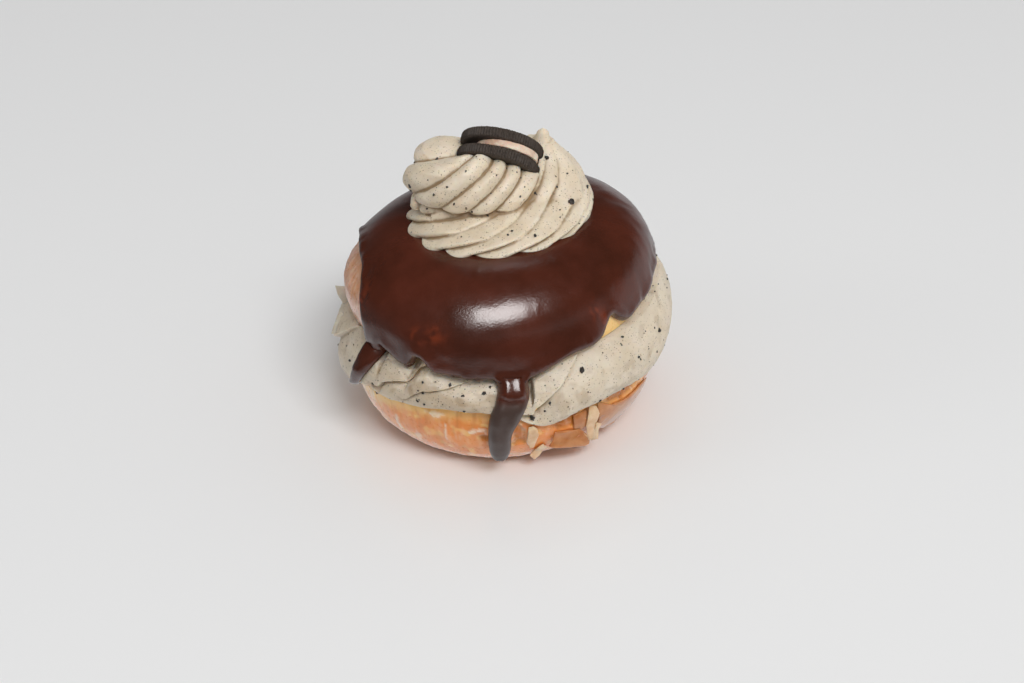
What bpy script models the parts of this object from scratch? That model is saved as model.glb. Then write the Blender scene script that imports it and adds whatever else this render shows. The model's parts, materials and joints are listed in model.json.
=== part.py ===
"""A split yeast doughnut: glazed lower half, piped cream filling, iced upper half, a piped
cream swirl and a small sandwich biscuit. Metres, +Z up, origin at the middle of the resting
face, front (the side with the long drip) towards -Y. Angles run anticlockwise from +X."""

from math import cos, pi, radians, sin

import bmesh
import bpy
import numpy as np
from mathutils import Matrix, Vector, geometry, kdtree

MM = 0.001
FULL_TURN = 2 * pi
GAP = 0.35 * MM  # clearance between neighbours that touch
BUN_INSET = 0.55 * MM  # how far the crust lies under the icing's inner surface
COLUMNS = 72
UPPER_COLUMNS = 54

# Lower half of the doughnut
# Radius of the resting face all round, every 45 degrees from +X
FOOT_RADIUS = np.array([31.5, 33, 33, 33, 33, 33.5, 32.6, 28.5]) * MM
LOWER_RADIUS = 47.8 * MM
LOWER_WIDEST_Z = 20.0 * MM
LOWER_CUT_MIDDLE_Z = 20.5 * MM
CUT_CORNER = 0.7 * MM  # rounding where the side meets the cut
# Height of the cut all round, every 30 degrees from +X
LOWER_RIM_Z = np.array([25, 26, 25, 23.5, 21.5, 19, 15.5, 19.5, 24, 25.4, 24, 23]) * MM

# Upper half of the doughnut
UPPER_CENTRE_X = -1.2 * MM
UPPER_RADIUS = 47.4 * MM
UPPER_WIDEST_Z = 45.0 * MM
CREST_RADIUS = 25.0 * MM
CREST_Z = 63.8 * MM
DIMPLE_DEPTH = 2.4 * MM
UNDERSIDE_DEPTH = 26.0 * MM  # vertical half-axis of the curve below the widest line
UPPER_CUT_MIDDLE_Z = 40.0 * MM
UPPER_TILT = 0.09  # rise of the upper half's top from left to right
TILT_FROM_Z = 42.0 * MM
TILT_RAMP = 18.0 * MM
# Where the side has no icing it stands out: angle, half width, height, half height and amount
BARE_FLANK = (radians(178), radians(29), 43.0 * MM, 9.0 * MM, 1.6 * MM)
UPPER_RIM_Z = np.array([46.5, 46.5, 45.5, 43.5, 40.5, 36.5, 33.5, 37, 38.5, 37, 41.5, 44]) * MM

# Cream filling, piped in leaning lobes
# Height of the filling's lower lip all round, every 15 degrees from +X
LIP_LOW_Z = np.array([24, 25, 25.5, 25, 24.5, 23.8, 22.8, 22, 20.8, 19.5, 18, 16, 13.8, 13.6, 19.2, 21,
                      23, 24.8, 24.2, 19.4, 22.6, 23.2, 22, 22]) * MM
LIP_LOW_RADIUS = 49.4 * MM
LIP_HIGH_RADIUS = np.array([49, 49, 48.5, 48, 47.5, 48, 48.5, 46.4, 45.4, 45.2, 45.8, 48]) * MM
BULGE = np.array([4.4, 4.4, 4.0, 3.6, 3.4, 3.8, 4.8, 4.6, 3.8, 4.2, 5.0, 4.8]) * MM
GROOVE_DEPTH = 2.4 * MM
GROOVES = np.radians([-79, -36, 6, 50, 92, 136, 176, 216])
LOBE_LEAN = radians(26)  # how far a groove runs round on its way up
LOBE_COLUMNS = 10
FILLING_GAP = 1.4 * GAP
FILLING_INNER_RADIUS = 43.5 * MM  # where the flat faces between the halves begin

# Chocolate icing
ICING_THICKNESS = 2.2 * MM
ICING_BORDER = 2.6 * MM  # width of the rounded border
ICING_SPACING = 5.6 * MM
NORMAL_STEP = 1.2 * MM  # distance either way over which the slope is measured
# Radius and height of the surface that the drips follow below the upper half
HANG_RADIUS = np.array([47.8, 49.6, 51.0, 50.9, 50.0, 48.2, 45.4, 43.4]) * MM
HANG_Z = np.array([34.0, 31.5, 28.0, 23.0, 17.0, 11.0, 6.0, 3.5]) * MM
# The icing's outline, as degrees round and millimetres up, anticlockwise from the left drip
ICING_EDGE = (
    (-147.6, 36), (-148, 30), (-151, 23.6), (-153.8, 19), (-149.5, 20), (-145.6, 23.6), (-141.4, 28.4),
    (-138, 33.5), (-136, 37.8), (-131, 36.6), (-125, 34.4), (-119.5, 40), (-115.5, 36.8), (-110, 35.4),
    (-100, 34.8), (-92.5, 35.2), (-90.4, 33), (-91, 29), (-92.8, 24.4), (-93.6, 18), (-93, 10),
    (-89.4, 7), (-85.8, 10), (-85.4, 17), (-82.4, 24), (-79.4, 30.4), (-78.6, 35.2), (-73, 37.8),
    (-65, 41.4), (-54, 43), (-47, 45.2), (-43, 48), (-38, 46.8), (-26, 44.5), (-12, 46.4), (4, 48.5),
    (18, 46), (34, 47.5), (48, 44), (62, 46.5), (78, 42), (92, 44.5), (108, 41), (122, 43),
    (138, 40.5), (150, 44), (160, 52), (172, 56), (186, 57), (199, 56), (208, 50), (212, 42),
)
DRIP_HEAD = (-84.6, 30.5)  # degrees and millimetres of the fat end of the long drip's upper part
DRIP_HEAD_SWELL = 1.5 * MM
DRIP_HEAD_REACH = 3.6 * MM
DRIPS = ((radians(-86.5), radians(9)), (radians(-146), radians(11)))  # middle and half width

# Flakes of glaze that have cracked and come up off the crust: degrees round, height, width and
# length in mm, then the turn in the flake's own plane and the lean of its top outwards, in degrees
LOWER_FLAKES = (
    (-62.5, 10.2, 12.5, 8.6, 6, -12), (-54.6, 14.3, 3.3, 12.5, 4, -8), (-51.4, 10.4, 4.4, 9.0, -8, -12),
    (-39.5, 15.2, 15.0, 8.6, -3, -2), (-74.5, 8.4, 3.2, 11.0, -34, -30), (-79.2, 14.4, 3.6, 10.0, -10, -5),
    (-103.0, 9.5, 3.2, 9.5, 12, -3),
)
UPPER_FLAKES = ((-177.0, 40.0, 5.0, 6.4, 16, 42),)
FILLING_FLAKES = ((-178.5, 26.5, 6.0, 8.0, -14, -36),)
FILLING_FLAKE_RADIUS = 51.6 * MM
FLAKE_THICKNESS = 1.0 * MM
FLAKE_CORNERS = 7

# Piped swirl: ridges that wind up anticlockwise round a centre that drifts with height
SWIRL_FOOT = Vector((-1.5, 0.5, 65.5)) * MM
SWIRL_PEAK = Vector((12.3, 4.4, 92.2)) * MM
MOUND_Z = np.array([64, 66, 69, 72, 75, 79, 83, 87, 90]) * MM
MOUND_RADIUS = np.array([27.5, 29.2, 28.0, 24.6, 21.8, 18.6, 13.2, 6.8, 3.0]) * MM
RIDGES = 15
FIRST_RIDGE = radians(-163.5)
RIDGE_SWEEP = radians(120)
RIDGE_RADIUS = 2.8 * MM
RIDGE_RISE = 1.6
# A hollow side of the mound: angle, share of the radius, height where it starts and its reach
FRONT_DENT = (radians(-112), 0.46, 70.0 * MM, 5.0 * MM)
# Fat ridges of the second turn, anticlockwise from the right, then the cream that fills the
# middle: start, end and radius, all in mm
TOP_RIDGES = (
    (9.0, 19.0, 77.0, 8.5, 11.0, 87.5, 4.2), (-1.0, 20.5, 77.0, 4.0, 13.0, 87.0, 4.4),
    (-11.0, 19.0, 77.5, -3.5, 12.5, 86.5, 4.6), (-18.5, 14.5, 78.5, -9.5, 11.5, 86.0, 4.8),
    (-22.5, 6.5, 81.5, -13.5, 9.0, 85.5, 4.9), (-27.5, 2.5, 74.4, -12.0, -0.5, 82.6, 4.7),
    (-22.5, -5.5, 73.4, -6.5, -2.5, 84.5, 4.5), (-15.5, -8.5, 71.6, -9.5, -9.6, 74.0, 2.6),
    (-10.0, -8.6, 74.5, 1.0, -5.5, 83.5, 4.0), (-0.8, -11.0, 75.4, 10.3, -6.5, 83.2, 4.0),
    (6.5, -10.3, 77.2, 13.0, -4.6, 83.5, 3.0), (-17.0, 1.5, 72.0, -2.0, 0.0, 77.0, 6.8),
)
SWIRL_VOXEL = 0.6 * MM
SWIRL_TRIANGLES = 4300

# Sandwich biscuit
BISCUIT_CENTRE = Vector((-0.6, 0.6, 86.7)) * MM
BISCUIT_AXIS = Vector((0.206, 0.644, 0.735)).normalized()
BISCUIT_RADIUS = 12.7 * MM
WAFER_THICKNESS = 3.4 * MM
BISCUIT_FILLING_RADIUS = 10.6 * MM
BISCUIT_FILLING_THICKNESS = 1.4 * MM
BISCUIT_FILLING_SHIFT = 1.4 * MM
WAFER_RIBS = 36
WAFER_RIB_DEPTH = 0.4 * MM
WAFER_CORNER = (0.9 * MM, 0.7 * MM)  # how far the rim's rounding reaches in and along


def ring_value(values, angle):
    """Smooth value at an angle, from values spaced evenly round a full turn."""
    count = len(values)
    position = (angle % FULL_TURN) / FULL_TURN * count
    first = np.floor(position).astype(int)
    share = position - first
    a, b, c, d = (values[(first + k) % count] for k in (-1, 0, 1, 2))
    return b + 0.5 * share * (c - a + share * (2 * a - 5 * b + 4 * c - d + share * (3 * (b - c) + d - a)))


def smooth_loop(points, per_span):
    """A smooth closed curve through the rows of an array."""
    points = np.asarray(points, float)
    share = (np.arange(per_span) / per_span)[None, :, None]
    a, b, c, d = (np.roll(points, -k, axis=0)[:, None, :] for k in (-1, 0, 1, 2))
    curve = b + 0.5 * share * (c - a + share * (2 * a - 5 * b + 4 * c - d + share * (3 * (b - c) + d - a)))
    return curve.reshape(-1, points.shape[1])


def principled(name, colour, roughness, coat=0.0):
    material = bpy.data.materials.new(name)
    material.use_nodes = True
    shader = material.node_tree.nodes["Principled BSDF"]
    shader.inputs["Base Color"].default_value = (*colour, 1)
    shader.inputs["Roughness"].default_value = roughness
    shader.inputs["Metallic"].default_value = 0
    shader.inputs["Coat Weight"].default_value = coat
    return material


def new_object(name, points, faces, material=None):
    mesh = bpy.data.meshes.new(name)
    mesh.from_pydata([tuple(p) for p in points], [], [tuple(f) for f in faces])
    work = bmesh.new()
    work.from_mesh(mesh)
    bmesh.ops.triangulate(work, faces=work.faces)
    bmesh.ops.recalc_face_normals(work, faces=work.faces)
    work.to_mesh(mesh)
    work.free()
    if material:
        mesh.materials.append(material)
    obj = bpy.data.objects.new(name, mesh)
    bpy.context.collection.objects.link(obj)
    return obj


def finish(obj):
    obj.data.shade_smooth()
    obj.data.set_sharp_from_angle(angle=radians(40))


def lathe(name, rings, low, high, material=None):
    """A closed body from rings of equal length, bottom to top, each end closed to a middle point."""
    count = len(rings[0])
    points = [p for ring in rings for p in ring] + [low, high]
    low_index, high_index = len(points) - 2, len(points) - 1
    last = (len(rings) - 1) * count
    faces = []
    for i in range(count):
        j = (i + 1) % count
        for k in range(0, last, count):
            faces.append((k + i, k + j, k + count + j, k + count + i))
        faces.append((low_index, j, i))
        faces.append((high_index, last + i, last + j))
    return new_object(name, points, faces, material)


def ring_points(angles, radius, height, centre_x=0.0):
    radius = np.broadcast_to(radius, angles.shape)
    height = np.broadcast_to(height, angles.shape)
    return np.c_[centre_x + radius * np.cos(angles), radius * np.sin(angles), height]


def tube(name, centres, radii, sides=10):
    """A round tube along a line of centres, with pointed ends."""
    centres = np.asarray(centres)
    rings = []
    for k, centre in enumerate(centres):
        ahead = centres[min(k + 1, len(centres) - 1)] - centres[max(k - 1, 0)]
        tangent = Vector(ahead).normalized()
        side = tangent.cross(Vector((0, 0, 1))).normalized()
        across = side.cross(tangent)
        turn = np.linspace(0, FULL_TURN, sides, endpoint=False)
        rings.append(centre + radii[k] * (np.outer(np.cos(turn), side) + np.outer(np.sin(turn), across)))
    start = centres[0] - 0.7 * radii[0] * np.array(Vector(centres[1] - centres[0]).normalized())
    end = centres[-1] + 0.7 * radii[-1] * np.array(Vector(centres[-1] - centres[-2]).normalized())
    return lathe(name, rings, start, end)


def apply_modifiers(obj):
    """Replaces the object's mesh by its evaluated one."""
    graph = bpy.context.evaluated_depsgraph_get()
    mesh = bpy.data.meshes.new_from_object(obj.evaluated_get(graph))
    obj.modifiers.clear()
    old, obj.data = obj.data, mesh
    bpy.data.meshes.remove(old)


def combine(obj, others, operation):
    """Joins obj with a list of objects, or cuts it by them, and removes them."""
    group = bpy.data.collections.new("tools")
    bpy.context.scene.collection.children.link(group)
    for other in others:
        group.objects.link(other)
    boolean = obj.modifiers.new("combine", "BOOLEAN")
    boolean.operand_type = "COLLECTION"
    boolean.collection = group
    boolean.operation = operation
    boolean.solver = "EXACT"
    apply_modifiers(obj)
    for other in others:
        bpy.data.objects.remove(other)
    bpy.data.collections.remove(group)


# The profile that the upper half and its icing share


def upper_profile():
    """Radius and height of the upper half's skin, from its middle over the crest and down its side."""
    inner = np.linspace(0, 1, 12)[:-1]
    turn = np.linspace(0, pi / 2, 24)[:-1]
    under = np.linspace(0, 0.44, 8)
    reach = UPPER_RADIUS - CREST_RADIUS
    radius = np.r_[inner * CREST_RADIUS, CREST_RADIUS + reach * np.sin(turn) ** 0.94,
                   CREST_RADIUS + reach * np.cos(under)]
    height = np.r_[CREST_Z - DIMPLE_DEPTH * (1 - inner**2) ** 2,
                   UPPER_WIDEST_Z + (CREST_Z - UPPER_WIDEST_Z) * np.cos(turn),
                   UPPER_WIDEST_Z - UNDERSIDE_DEPTH * np.sin(under)]
    return np.c_[radius, height]


def tilted(points):
    """Points of the upper half, its top leaning up to the right and its cut left as it is."""
    points = np.array(points, float)
    share = np.clip((points[:, 2] - TILT_FROM_Z) / TILT_RAMP, 0, 1)
    points[:, 2] += UPPER_TILT * (points[:, 0] - UPPER_CENTRE_X) * share * share * (3 - 2 * share)
    return points


def bun_radius(height):
    """Radius of the upper half's side at a height."""
    profile = upper_profile()
    side = profile[np.argmax(profile[:, 1]):]
    return np.interp(height, side[::-1, 1], side[::-1, 0])


def hang_radius(height):
    """Radius of the surface that the drips follow."""
    return np.interp(height, HANG_Z[::-1], HANG_RADIUS[::-1])


def under_drips(angles, radius, height, clearance):
    """Takes a surface in behind the two drips, so that they lie clear of it."""
    limit = hang_radius(height) + UPPER_CENTRE_X * np.cos(angles) - clearance
    for middle, half_width in DRIPS:
        away = np.abs((angles - middle + pi) % FULL_TURN - pi)
        near = np.clip(2.2 - away / half_width, 0, 1)
        radius = radius + near * np.minimum(limit - radius, 0)
    return radius


# The two halves


def dough_swell(angles, height):
    """Slow unevenness of the dough."""
    return 0.28 * MM * (np.sin(3 * angles + 1 + 60 * height) + 0.6 * np.sin(7 * angles + 2 - 90 * height))


def lower_radius(angles, height):
    depth = np.clip((LOWER_WIDEST_Z - height) / LOWER_WIDEST_Z, 0, 1)
    foot = ring_value(FOOT_RADIUS, angles)
    radius = foot + (LOWER_RADIUS - foot) * np.sqrt(1 - depth**2)
    swell = dough_swell(angles, height) * np.clip(height / (4 * MM), 0, 1)
    return under_drips(angles, radius + swell, height, 2 * GAP)


def flake(middle, outwards, width, length, turn, lean):
    """A thin flake of cracked glaze with an uneven outline, standing on a slope."""
    outwards = Vector(outwards).normalized()
    across = Vector((0, 0, 1)).cross(outwards).normalized()
    upwards = outwards.cross(across)
    frame = Matrix((across, upwards, outwards)).transposed()
    frame = frame @ Matrix.Rotation(turn, 3, "Z") @ Matrix.Rotation(lean, 3, "X")
    corners = []
    for k in range(FLAKE_CORNERS):
        angle = FULL_TURN * k / FLAKE_CORNERS
        reach = 0.5 * (1 + 0.26 * sin(2.3 * k + 40 * width + 90 * length))
        corners.append((width * reach * cos(angle), length * reach * sin(angle)))
    outline = [(x, y, z * 0.5 * FLAKE_THICKNESS) for z in (-1, 1) for x, y in corners]
    middles = [(0, 0, z * 0.5 * FLAKE_THICKNESS) for z in (-1, 1)]
    points = [Vector(middle) + frame @ Vector(p) for p in outline]
    ends = [Vector(middle) + frame @ Vector(p) for p in middles]
    rings = [np.array(points[:FLAKE_CORNERS]), np.array(points[FLAKE_CORNERS:])]
    return lathe("flake", rings, ends[0], ends[1])


def add_flakes(obj, flakes, radius_at, centre_x):
    """Joins the flakes of a table to the body that they lie on."""
    pieces = []
    for angle, height, width, length, turn, lean in flakes:
        angle, height = radians(angle), height * MM
        below, above = (radius_at(angle, height + step) for step in (-MM, MM))
        outwards = Vector((2 * MM * cos(angle), 2 * MM * sin(angle), below - above))
        radius = radius_at(angle, height)
        middle = Vector((centre_x + radius * cos(angle), radius * sin(angle), height))
        middle += outwards.normalized() * 0.3 * FLAKE_THICKNESS
        pieces.append(flake(middle, outwards, width * MM, length * MM, radians(turn), radians(lean)))
    combine(obj, pieces, "UNION")


def lower_bun(material):
    angles = np.linspace(0, FULL_TURN, COLUMNS, endpoint=False)
    rim = ring_value(LOWER_RIM_Z, angles)
    levels = (1 - np.cos(np.linspace(0, pi / 2, 9))) ** 1.1
    rings = []
    for level in levels:
        height = level * (rim - CUT_CORNER)
        rings.append(ring_points(angles, lower_radius(angles, height), height))
    rings.append(ring_points(angles, lower_radius(angles, rim) - CUT_CORNER, rim))
    obj = lathe("lower_bun", rings, (0, 0, 0), (0, 0, LOWER_CUT_MIDDLE_Z), material)
    add_flakes(obj, LOWER_FLAKES, lambda a, h: float(lower_radius(np.array([a]), np.array([h]))[0]), 0)
    finish(obj)


def bare_radius(angles, height):
    """Radius of the upper half's side, a little fuller where no icing covers it."""
    middle, half_width, level, half_height, swell = BARE_FLANK
    away = np.abs((angles - middle + pi) % FULL_TURN - pi) / half_width
    window = np.clip(1 - away**2, 0, 1) * np.exp(-(((height - level) / half_height) ** 2))
    return bun_radius(height) + swell * window


def upper_bun(material):
    angles = np.linspace(0, FULL_TURN, UPPER_COLUMNS, endpoint=False)
    rim = ring_value(UPPER_RIM_Z, angles)
    profile = upper_profile()
    over = profile[3:np.argmax(profile[:, 0]) - 2][::-4]
    shoulder = over[0][1]
    rings = []
    for share in (0, 0.35, 0.7):
        height = rim + share * (shoulder - rim)
        rings.append(ring_points(angles, bare_radius(angles, height) - BUN_INSET, height, UPPER_CENTRE_X))
    for radius, height in over:
        rings.append(ring_points(angles, radius - 0.6 * BUN_INSET, height - 0.8 * BUN_INSET, UPPER_CENTRE_X))
    rings = [tilted(ring) for ring in rings]
    obj = lathe("upper_bun", rings, (UPPER_CENTRE_X, 0, UPPER_CUT_MIDDLE_Z),
                (UPPER_CENTRE_X, 0, profile[0, 1] - BUN_INSET), material)
    add_flakes(obj, UPPER_FLAKES, lambda a, h: float(bun_radius(h)) - BUN_INSET, UPPER_CENTRE_X)
    finish(obj)


# Cream filling


def lobe_columns():
    """Angles at the lower lip, closest where the grooves are, and the groove depth at each."""
    angles, depths = [], []
    for start, end in zip(GROOVES, np.r_[GROOVES[1:], GROOVES[0] + FULL_TURN]):
        share = 0.5 - 0.5 * np.cos(np.linspace(0, pi, LOBE_COLUMNS, endpoint=False))
        angles.extend(start + (end - start) * share)
        depths.extend(1 - np.sin(pi * share) ** 0.55)
    return np.array(angles), np.array(depths)


def icing_edge_height(angles):
    """Height of the icing's edge, with the drips left out."""
    kept = [(a, z) for a, z in ICING_EDGE if not (-160 < a < -138.6 or -92.5 < a < -80.1 or z < 30)]
    edge = np.array(sorted(((a % 360), z) for a, z in kept))
    return np.interp(np.degrees(angles) % 360, edge[:, 0], edge[:, 1], period=360) * MM


def cream_filling(material):
    angles, groove = lobe_columns()
    rings = []
    low = ring_value(LIP_LOW_Z, angles)
    cut = ring_value(LOWER_RIM_Z, angles)
    inside = cut + 0.06 * (LOWER_CUT_MIDDLE_Z - cut) + FILLING_GAP
    rings.append(ring_points(angles, FILLING_INNER_RADIUS, inside))
    rings.append(ring_points(angles, LOWER_RADIUS + 0.9 * MM, np.maximum(cut, low) + FILLING_GAP))
    for share in 0.5 - 0.5 * np.cos(np.linspace(0.12, pi - 0.1, 11)):
        turned = angles + LOBE_LEAN * share
        low = ring_value(LIP_LOW_Z, turned)
        rim = ring_value(UPPER_RIM_Z, turned)
        high = np.minimum(rim, icing_edge_height(turned)) - 2.8 * GAP
        height = low + share * (high - low)
        swell = ring_value(BULGE, turned) * sin(pi * share) ** 0.7
        swell -= GROOVE_DEPTH * groove * sin(pi * share) ** 0.4
        lip = LIP_LOW_RADIUS + share * (ring_value(LIP_HIGH_RADIUS, turned) - LIP_LOW_RADIUS)
        radius = under_drips(turned, lip + swell, height, 1.5 * GAP)
        rings.append(ring_points(turned, radius, height))
    turned = angles + LOBE_LEAN
    cut = ring_value(UPPER_RIM_Z, turned)
    inside = cut + 0.07 * (UPPER_CUT_MIDDLE_Z - cut) - FILLING_GAP
    rings.append(ring_points(turned, FILLING_INNER_RADIUS, inside, UPPER_CENTRE_X))
    obj = lathe("cream_filling", rings, (0, 0, LOWER_CUT_MIDDLE_Z + FILLING_GAP),
                (UPPER_CENTRE_X, 0, UPPER_CUT_MIDDLE_Z - FILLING_GAP), material)
    add_flakes(obj, FILLING_FLAKES, lambda a, h: FILLING_FLAKE_RADIUS, 0)
    finish(obj)


# Icing


def icing_base():
    """The icing's inner surface from the middle outwards: distance along its profile, radius,
    height, and flat radius, which spreads it out in a plane with its angles kept."""
    profile = upper_profile()
    points = np.vstack([profile[profile[:, 1] > HANG_Z[0] + 1.5 * MM], np.c_[HANG_RADIUS, HANG_Z]])
    corners = np.r_[0, np.cumsum(np.hypot(*np.diff(points, axis=0).T))]
    along = np.linspace(0, corners[-1], 400)
    radius, height = (np.interp(along, corners, column) for column in points.T)
    growth = np.r_[0, np.cumsum(np.diff(along) / (0.5 * (radius[1:] + radius[:-1])))]
    flat = np.exp(growth - growth[-1])
    flat[0] = 0
    return along, radius, height, flat


def icing_surface(flat, base, lift):
    """Points on the icing's inner surface, lifted along its normal, from flat ones."""
    along, radius, height, spread = base
    distance = np.interp(np.hypot(flat[:, 0], flat[:, 1]), spread, along)
    angle = np.arctan2(flat[:, 1], flat[:, 0])
    places = (distance + step for step in (-NORMAL_STEP, 0, NORMAL_STEP))
    before, here, after = (
        np.c_[np.interp(place, along, radius), np.interp(place, along, height)] for place in places)
    slope = (after - before) / np.linalg.norm(after - before, axis=1)[:, None]
    reach = here[:, 0] - lift * slope[:, 1]
    level = here[:, 1] + lift * slope[:, 0]
    return np.c_[UPPER_CENTRE_X + reach * np.cos(angle), reach * np.sin(angle), level]


def icing_outline(base):
    """The icing's outline in the flat plane, anticlockwise."""
    along, radius, height, spread = base
    crest = np.argmax(height)
    edge = np.array(ICING_EDGE)
    flat = np.interp(edge[:, 1] * MM, height[crest:][::-1], spread[crest:][::-1])
    angle = np.radians(edge[:, 0])
    return smooth_loop(np.c_[flat * np.cos(angle), flat * np.sin(angle)], 3)


def inside_outline(points, outline):
    """Which points lie inside a closed outline."""
    x, y = points[:, 0][:, None], points[:, 1][:, None]
    ax, ay = outline[:, 0], outline[:, 1]
    bx, by = np.roll(ax, -1), np.roll(ay, -1)
    spans = (ay > y) != (by > y)
    crossing = ax + (y - ay) / np.where(by == ay, 1, by - ay) * (bx - ax)
    return (np.sum(spans & (x < crossing), axis=1) % 2) == 1


def icing_points(outline, base):
    """Flat points of the icing with their distance from its outline: the outline itself,
    rows that follow it inwards, and rings over the top."""
    along, radius, height, spread = base
    solid_outline = icing_surface(outline, base, 0)
    tree = kdtree.KDTree(len(outline))
    for k, point in enumerate(solid_outline):
        tree.insert(point, k)
    tree.balance()
    forward = np.roll(outline, -1, axis=0) - np.roll(outline, 1, axis=0)
    inward = np.c_[-forward[:, 1], forward[:, 0]] / np.linalg.norm(forward, axis=1)[:, None]
    flat_radius = np.hypot(*outline.T)
    inward *= (flat_radius / np.interp(flat_radius, spread, radius))[:, None]
    offsets = (0.25 * ICING_BORDER, ICING_BORDER)
    candidates = [(outline + inward * offset, 0.75 * offset) for offset in offsets]
    rings = []
    for distance in np.arange(0.5 * ICING_SPACING, along[-1], ICING_SPACING):
        count = max(6, int(FULL_TURN * np.interp(distance, along, radius) / ICING_SPACING))
        angle = (np.arange(count) + 0.5 * (len(rings) % 2)) / count * FULL_TURN
        rings.append(np.interp(distance, along, spread) * np.c_[np.cos(angle), np.sin(angle)])
    candidates.append((np.vstack(rings), ICING_BORDER + 0.42 * ICING_SPACING))
    kept, away = [outline], [np.zeros(len(outline))]
    for flat, clear in candidates:
        distance = np.array([tree.find(p)[2] for p in icing_surface(flat, base, 0)])
        good = inside_outline(flat, outline) & (distance > clear)
        kept.append(flat[good])
        away.append(distance[good])
    return np.vstack(kept), np.concatenate(away)


def chocolate_icing(material):
    base = icing_base()
    outline = icing_outline(base)
    flat, away = icing_points(outline, base)
    edges = [(k, (k + 1) % len(outline)) for k in range(len(outline))]
    places, _, faces, sources, _, _ = geometry.delaunay_2d_cdt(
        [Vector(p) for p in flat], edges, [], 1, 1e-6)
    order = [source[0] for source in sources]
    flat, away = np.array([tuple(p) for p in places]), away[order]
    border = np.clip(away / ICING_BORDER, 0, 1)
    lift = ICING_THICKNESS * np.sqrt(1 - (1 - border) ** 2)
    solid = icing_surface(flat, base, 0)
    low = np.clip((UPPER_WIDEST_Z + 4 * MM - solid[:, 2]) / (8 * MM), 0, 1)
    lift *= 1 + 0.25 * low * np.exp(-(((away - ICING_BORDER) / (2.5 * MM)) ** 2))
    head_angle, head_height = radians(DRIP_HEAD[0]), DRIP_HEAD[1] * MM
    head_radius = hang_radius(head_height)
    head = np.array((head_radius * cos(head_angle), head_radius * sin(head_angle), head_height))
    lift += border * DRIP_HEAD_SWELL * np.exp(-np.sum((solid - head) ** 2, axis=1) / DRIP_HEAD_REACH**2)
    outer = icing_surface(flat, base, lift)
    inner_index = {}
    points = list(outer)
    for k, distance in enumerate(away):
        inner_index[k] = k
        if distance > 0:
            inner_index[k] = len(points)
            points.append(solid[k])
    points = tilted(points)
    faces = list(faces)
    under = [tuple(inner_index[i] for i in reversed(face)) for face in faces]
    obj = new_object("chocolate_icing", points, faces + under, material)
    finish(obj)


# Swirl


def mound_centre(height):
    """Middle of the swirl at each height: it drifts from the foot towards the peak."""
    share = np.clip((height - SWIRL_FOOT.z) / (SWIRL_PEAK.z - SWIRL_FOOT.z), 0, 1)
    return np.outer(1 - share, SWIRL_FOOT.xy) + np.outer(share, SWIRL_PEAK.xy)


def mound_points(angle, height, inset):
    """Points on the swirl's mound, taken in by an inset."""
    dent_angle, dent_share, dent_height, dent_reach = FRONT_DENT
    dent = dent_share * np.clip((height - dent_height) / dent_reach, 0, 1)
    radius = np.interp(height, MOUND_Z, MOUND_RADIUS)
    radius = radius * (1 - dent * np.clip(np.cos(angle - dent_angle), 0, 1) ** 0.7)
    radius = np.maximum(radius - inset, 0.3 * MM)
    centre = mound_centre(height)
    return np.c_[centre[:, 0] + radius * np.cos(angle), centre[:, 1] + radius * np.sin(angle), height]


def winding_ridges():
    progress = np.linspace(0, 1, 26)
    height = MOUND_Z[1] + 1.4 * MM + (MOUND_Z[-1] - MOUND_Z[1] - 2.0 * MM) * progress**RIDGE_RISE
    room = np.interp(height, MOUND_Z, MOUND_RADIUS) / MOUND_RADIUS[4]
    radius = RIDGE_RADIUS * np.clip(room, 0, 1) ** 0.85 * np.clip(0.12 + progress / 0.28, 0, 1) ** 0.8
    for k in range(RIDGES):
        angle = FIRST_RIDGE + FULL_TURN * k / RIDGES + RIDGE_SWEEP * progress
        centres = mound_points(angle, height, 0.8 * radius)
        centres[:, 2] += UPPER_TILT * centres[:, 0] * np.clip(1 - (height - 66 * MM) / (8 * MM), 0, 1)
        yield tube("ridge", centres, radius)


def top_ridges():
    progress = np.linspace(0, 1, 18)
    for *places, thick in TOP_RIDGES:
        start, end = np.array(places[:3]), np.array(places[3:])
        centres = np.outer(1 - progress, start) + np.outer(progress, end)
        centres[:, 2] += 1.2 * np.sin(pi * progress)
        radius = thick * (0.7 + 0.3 * np.sin(pi * np.clip(progress * 1.5, 0, 1)))
        yield tube("ridge", centres * MM, radius * MM)


def swirl_core():
    angles = np.linspace(0, FULL_TURN, 40, endpoint=False)
    rings = []
    for height in np.linspace(MOUND_Z[0] - 1 * MM, MOUND_Z[-1] - 2 * MM, 12):
        rings.append(mound_points(angles, np.full(len(angles), height), 1.2 * RIDGE_RADIUS))
    low, high = (np.append(mound_centre(np.array([z]))[0], z) for z in (rings[0][0][2], rings[-1][0][2]))
    return lathe("core", rings, low, high)


def peak_tip():
    progress = np.linspace(0, 1, 8)
    start, end = SWIRL_PEAK - Vector((0.5, 0.5, 9)) * MM, SWIRL_PEAK
    centres = np.outer(1 - progress, start) + np.outer(progress, end)
    return tube("peak", centres, (4.6 - 3.6 * progress**0.7) * MM)


def join_meshes(name, parts):
    """One object holding the meshes of several, which are removed."""
    work = bmesh.new()
    for part in parts:
        work.from_mesh(part.data)
    mesh = bpy.data.meshes.new(name)
    work.to_mesh(mesh)
    work.free()
    for part in parts:
        bpy.data.objects.remove(part)
    obj = bpy.data.objects.new(name, mesh)
    bpy.context.collection.objects.link(obj)
    return obj


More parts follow.
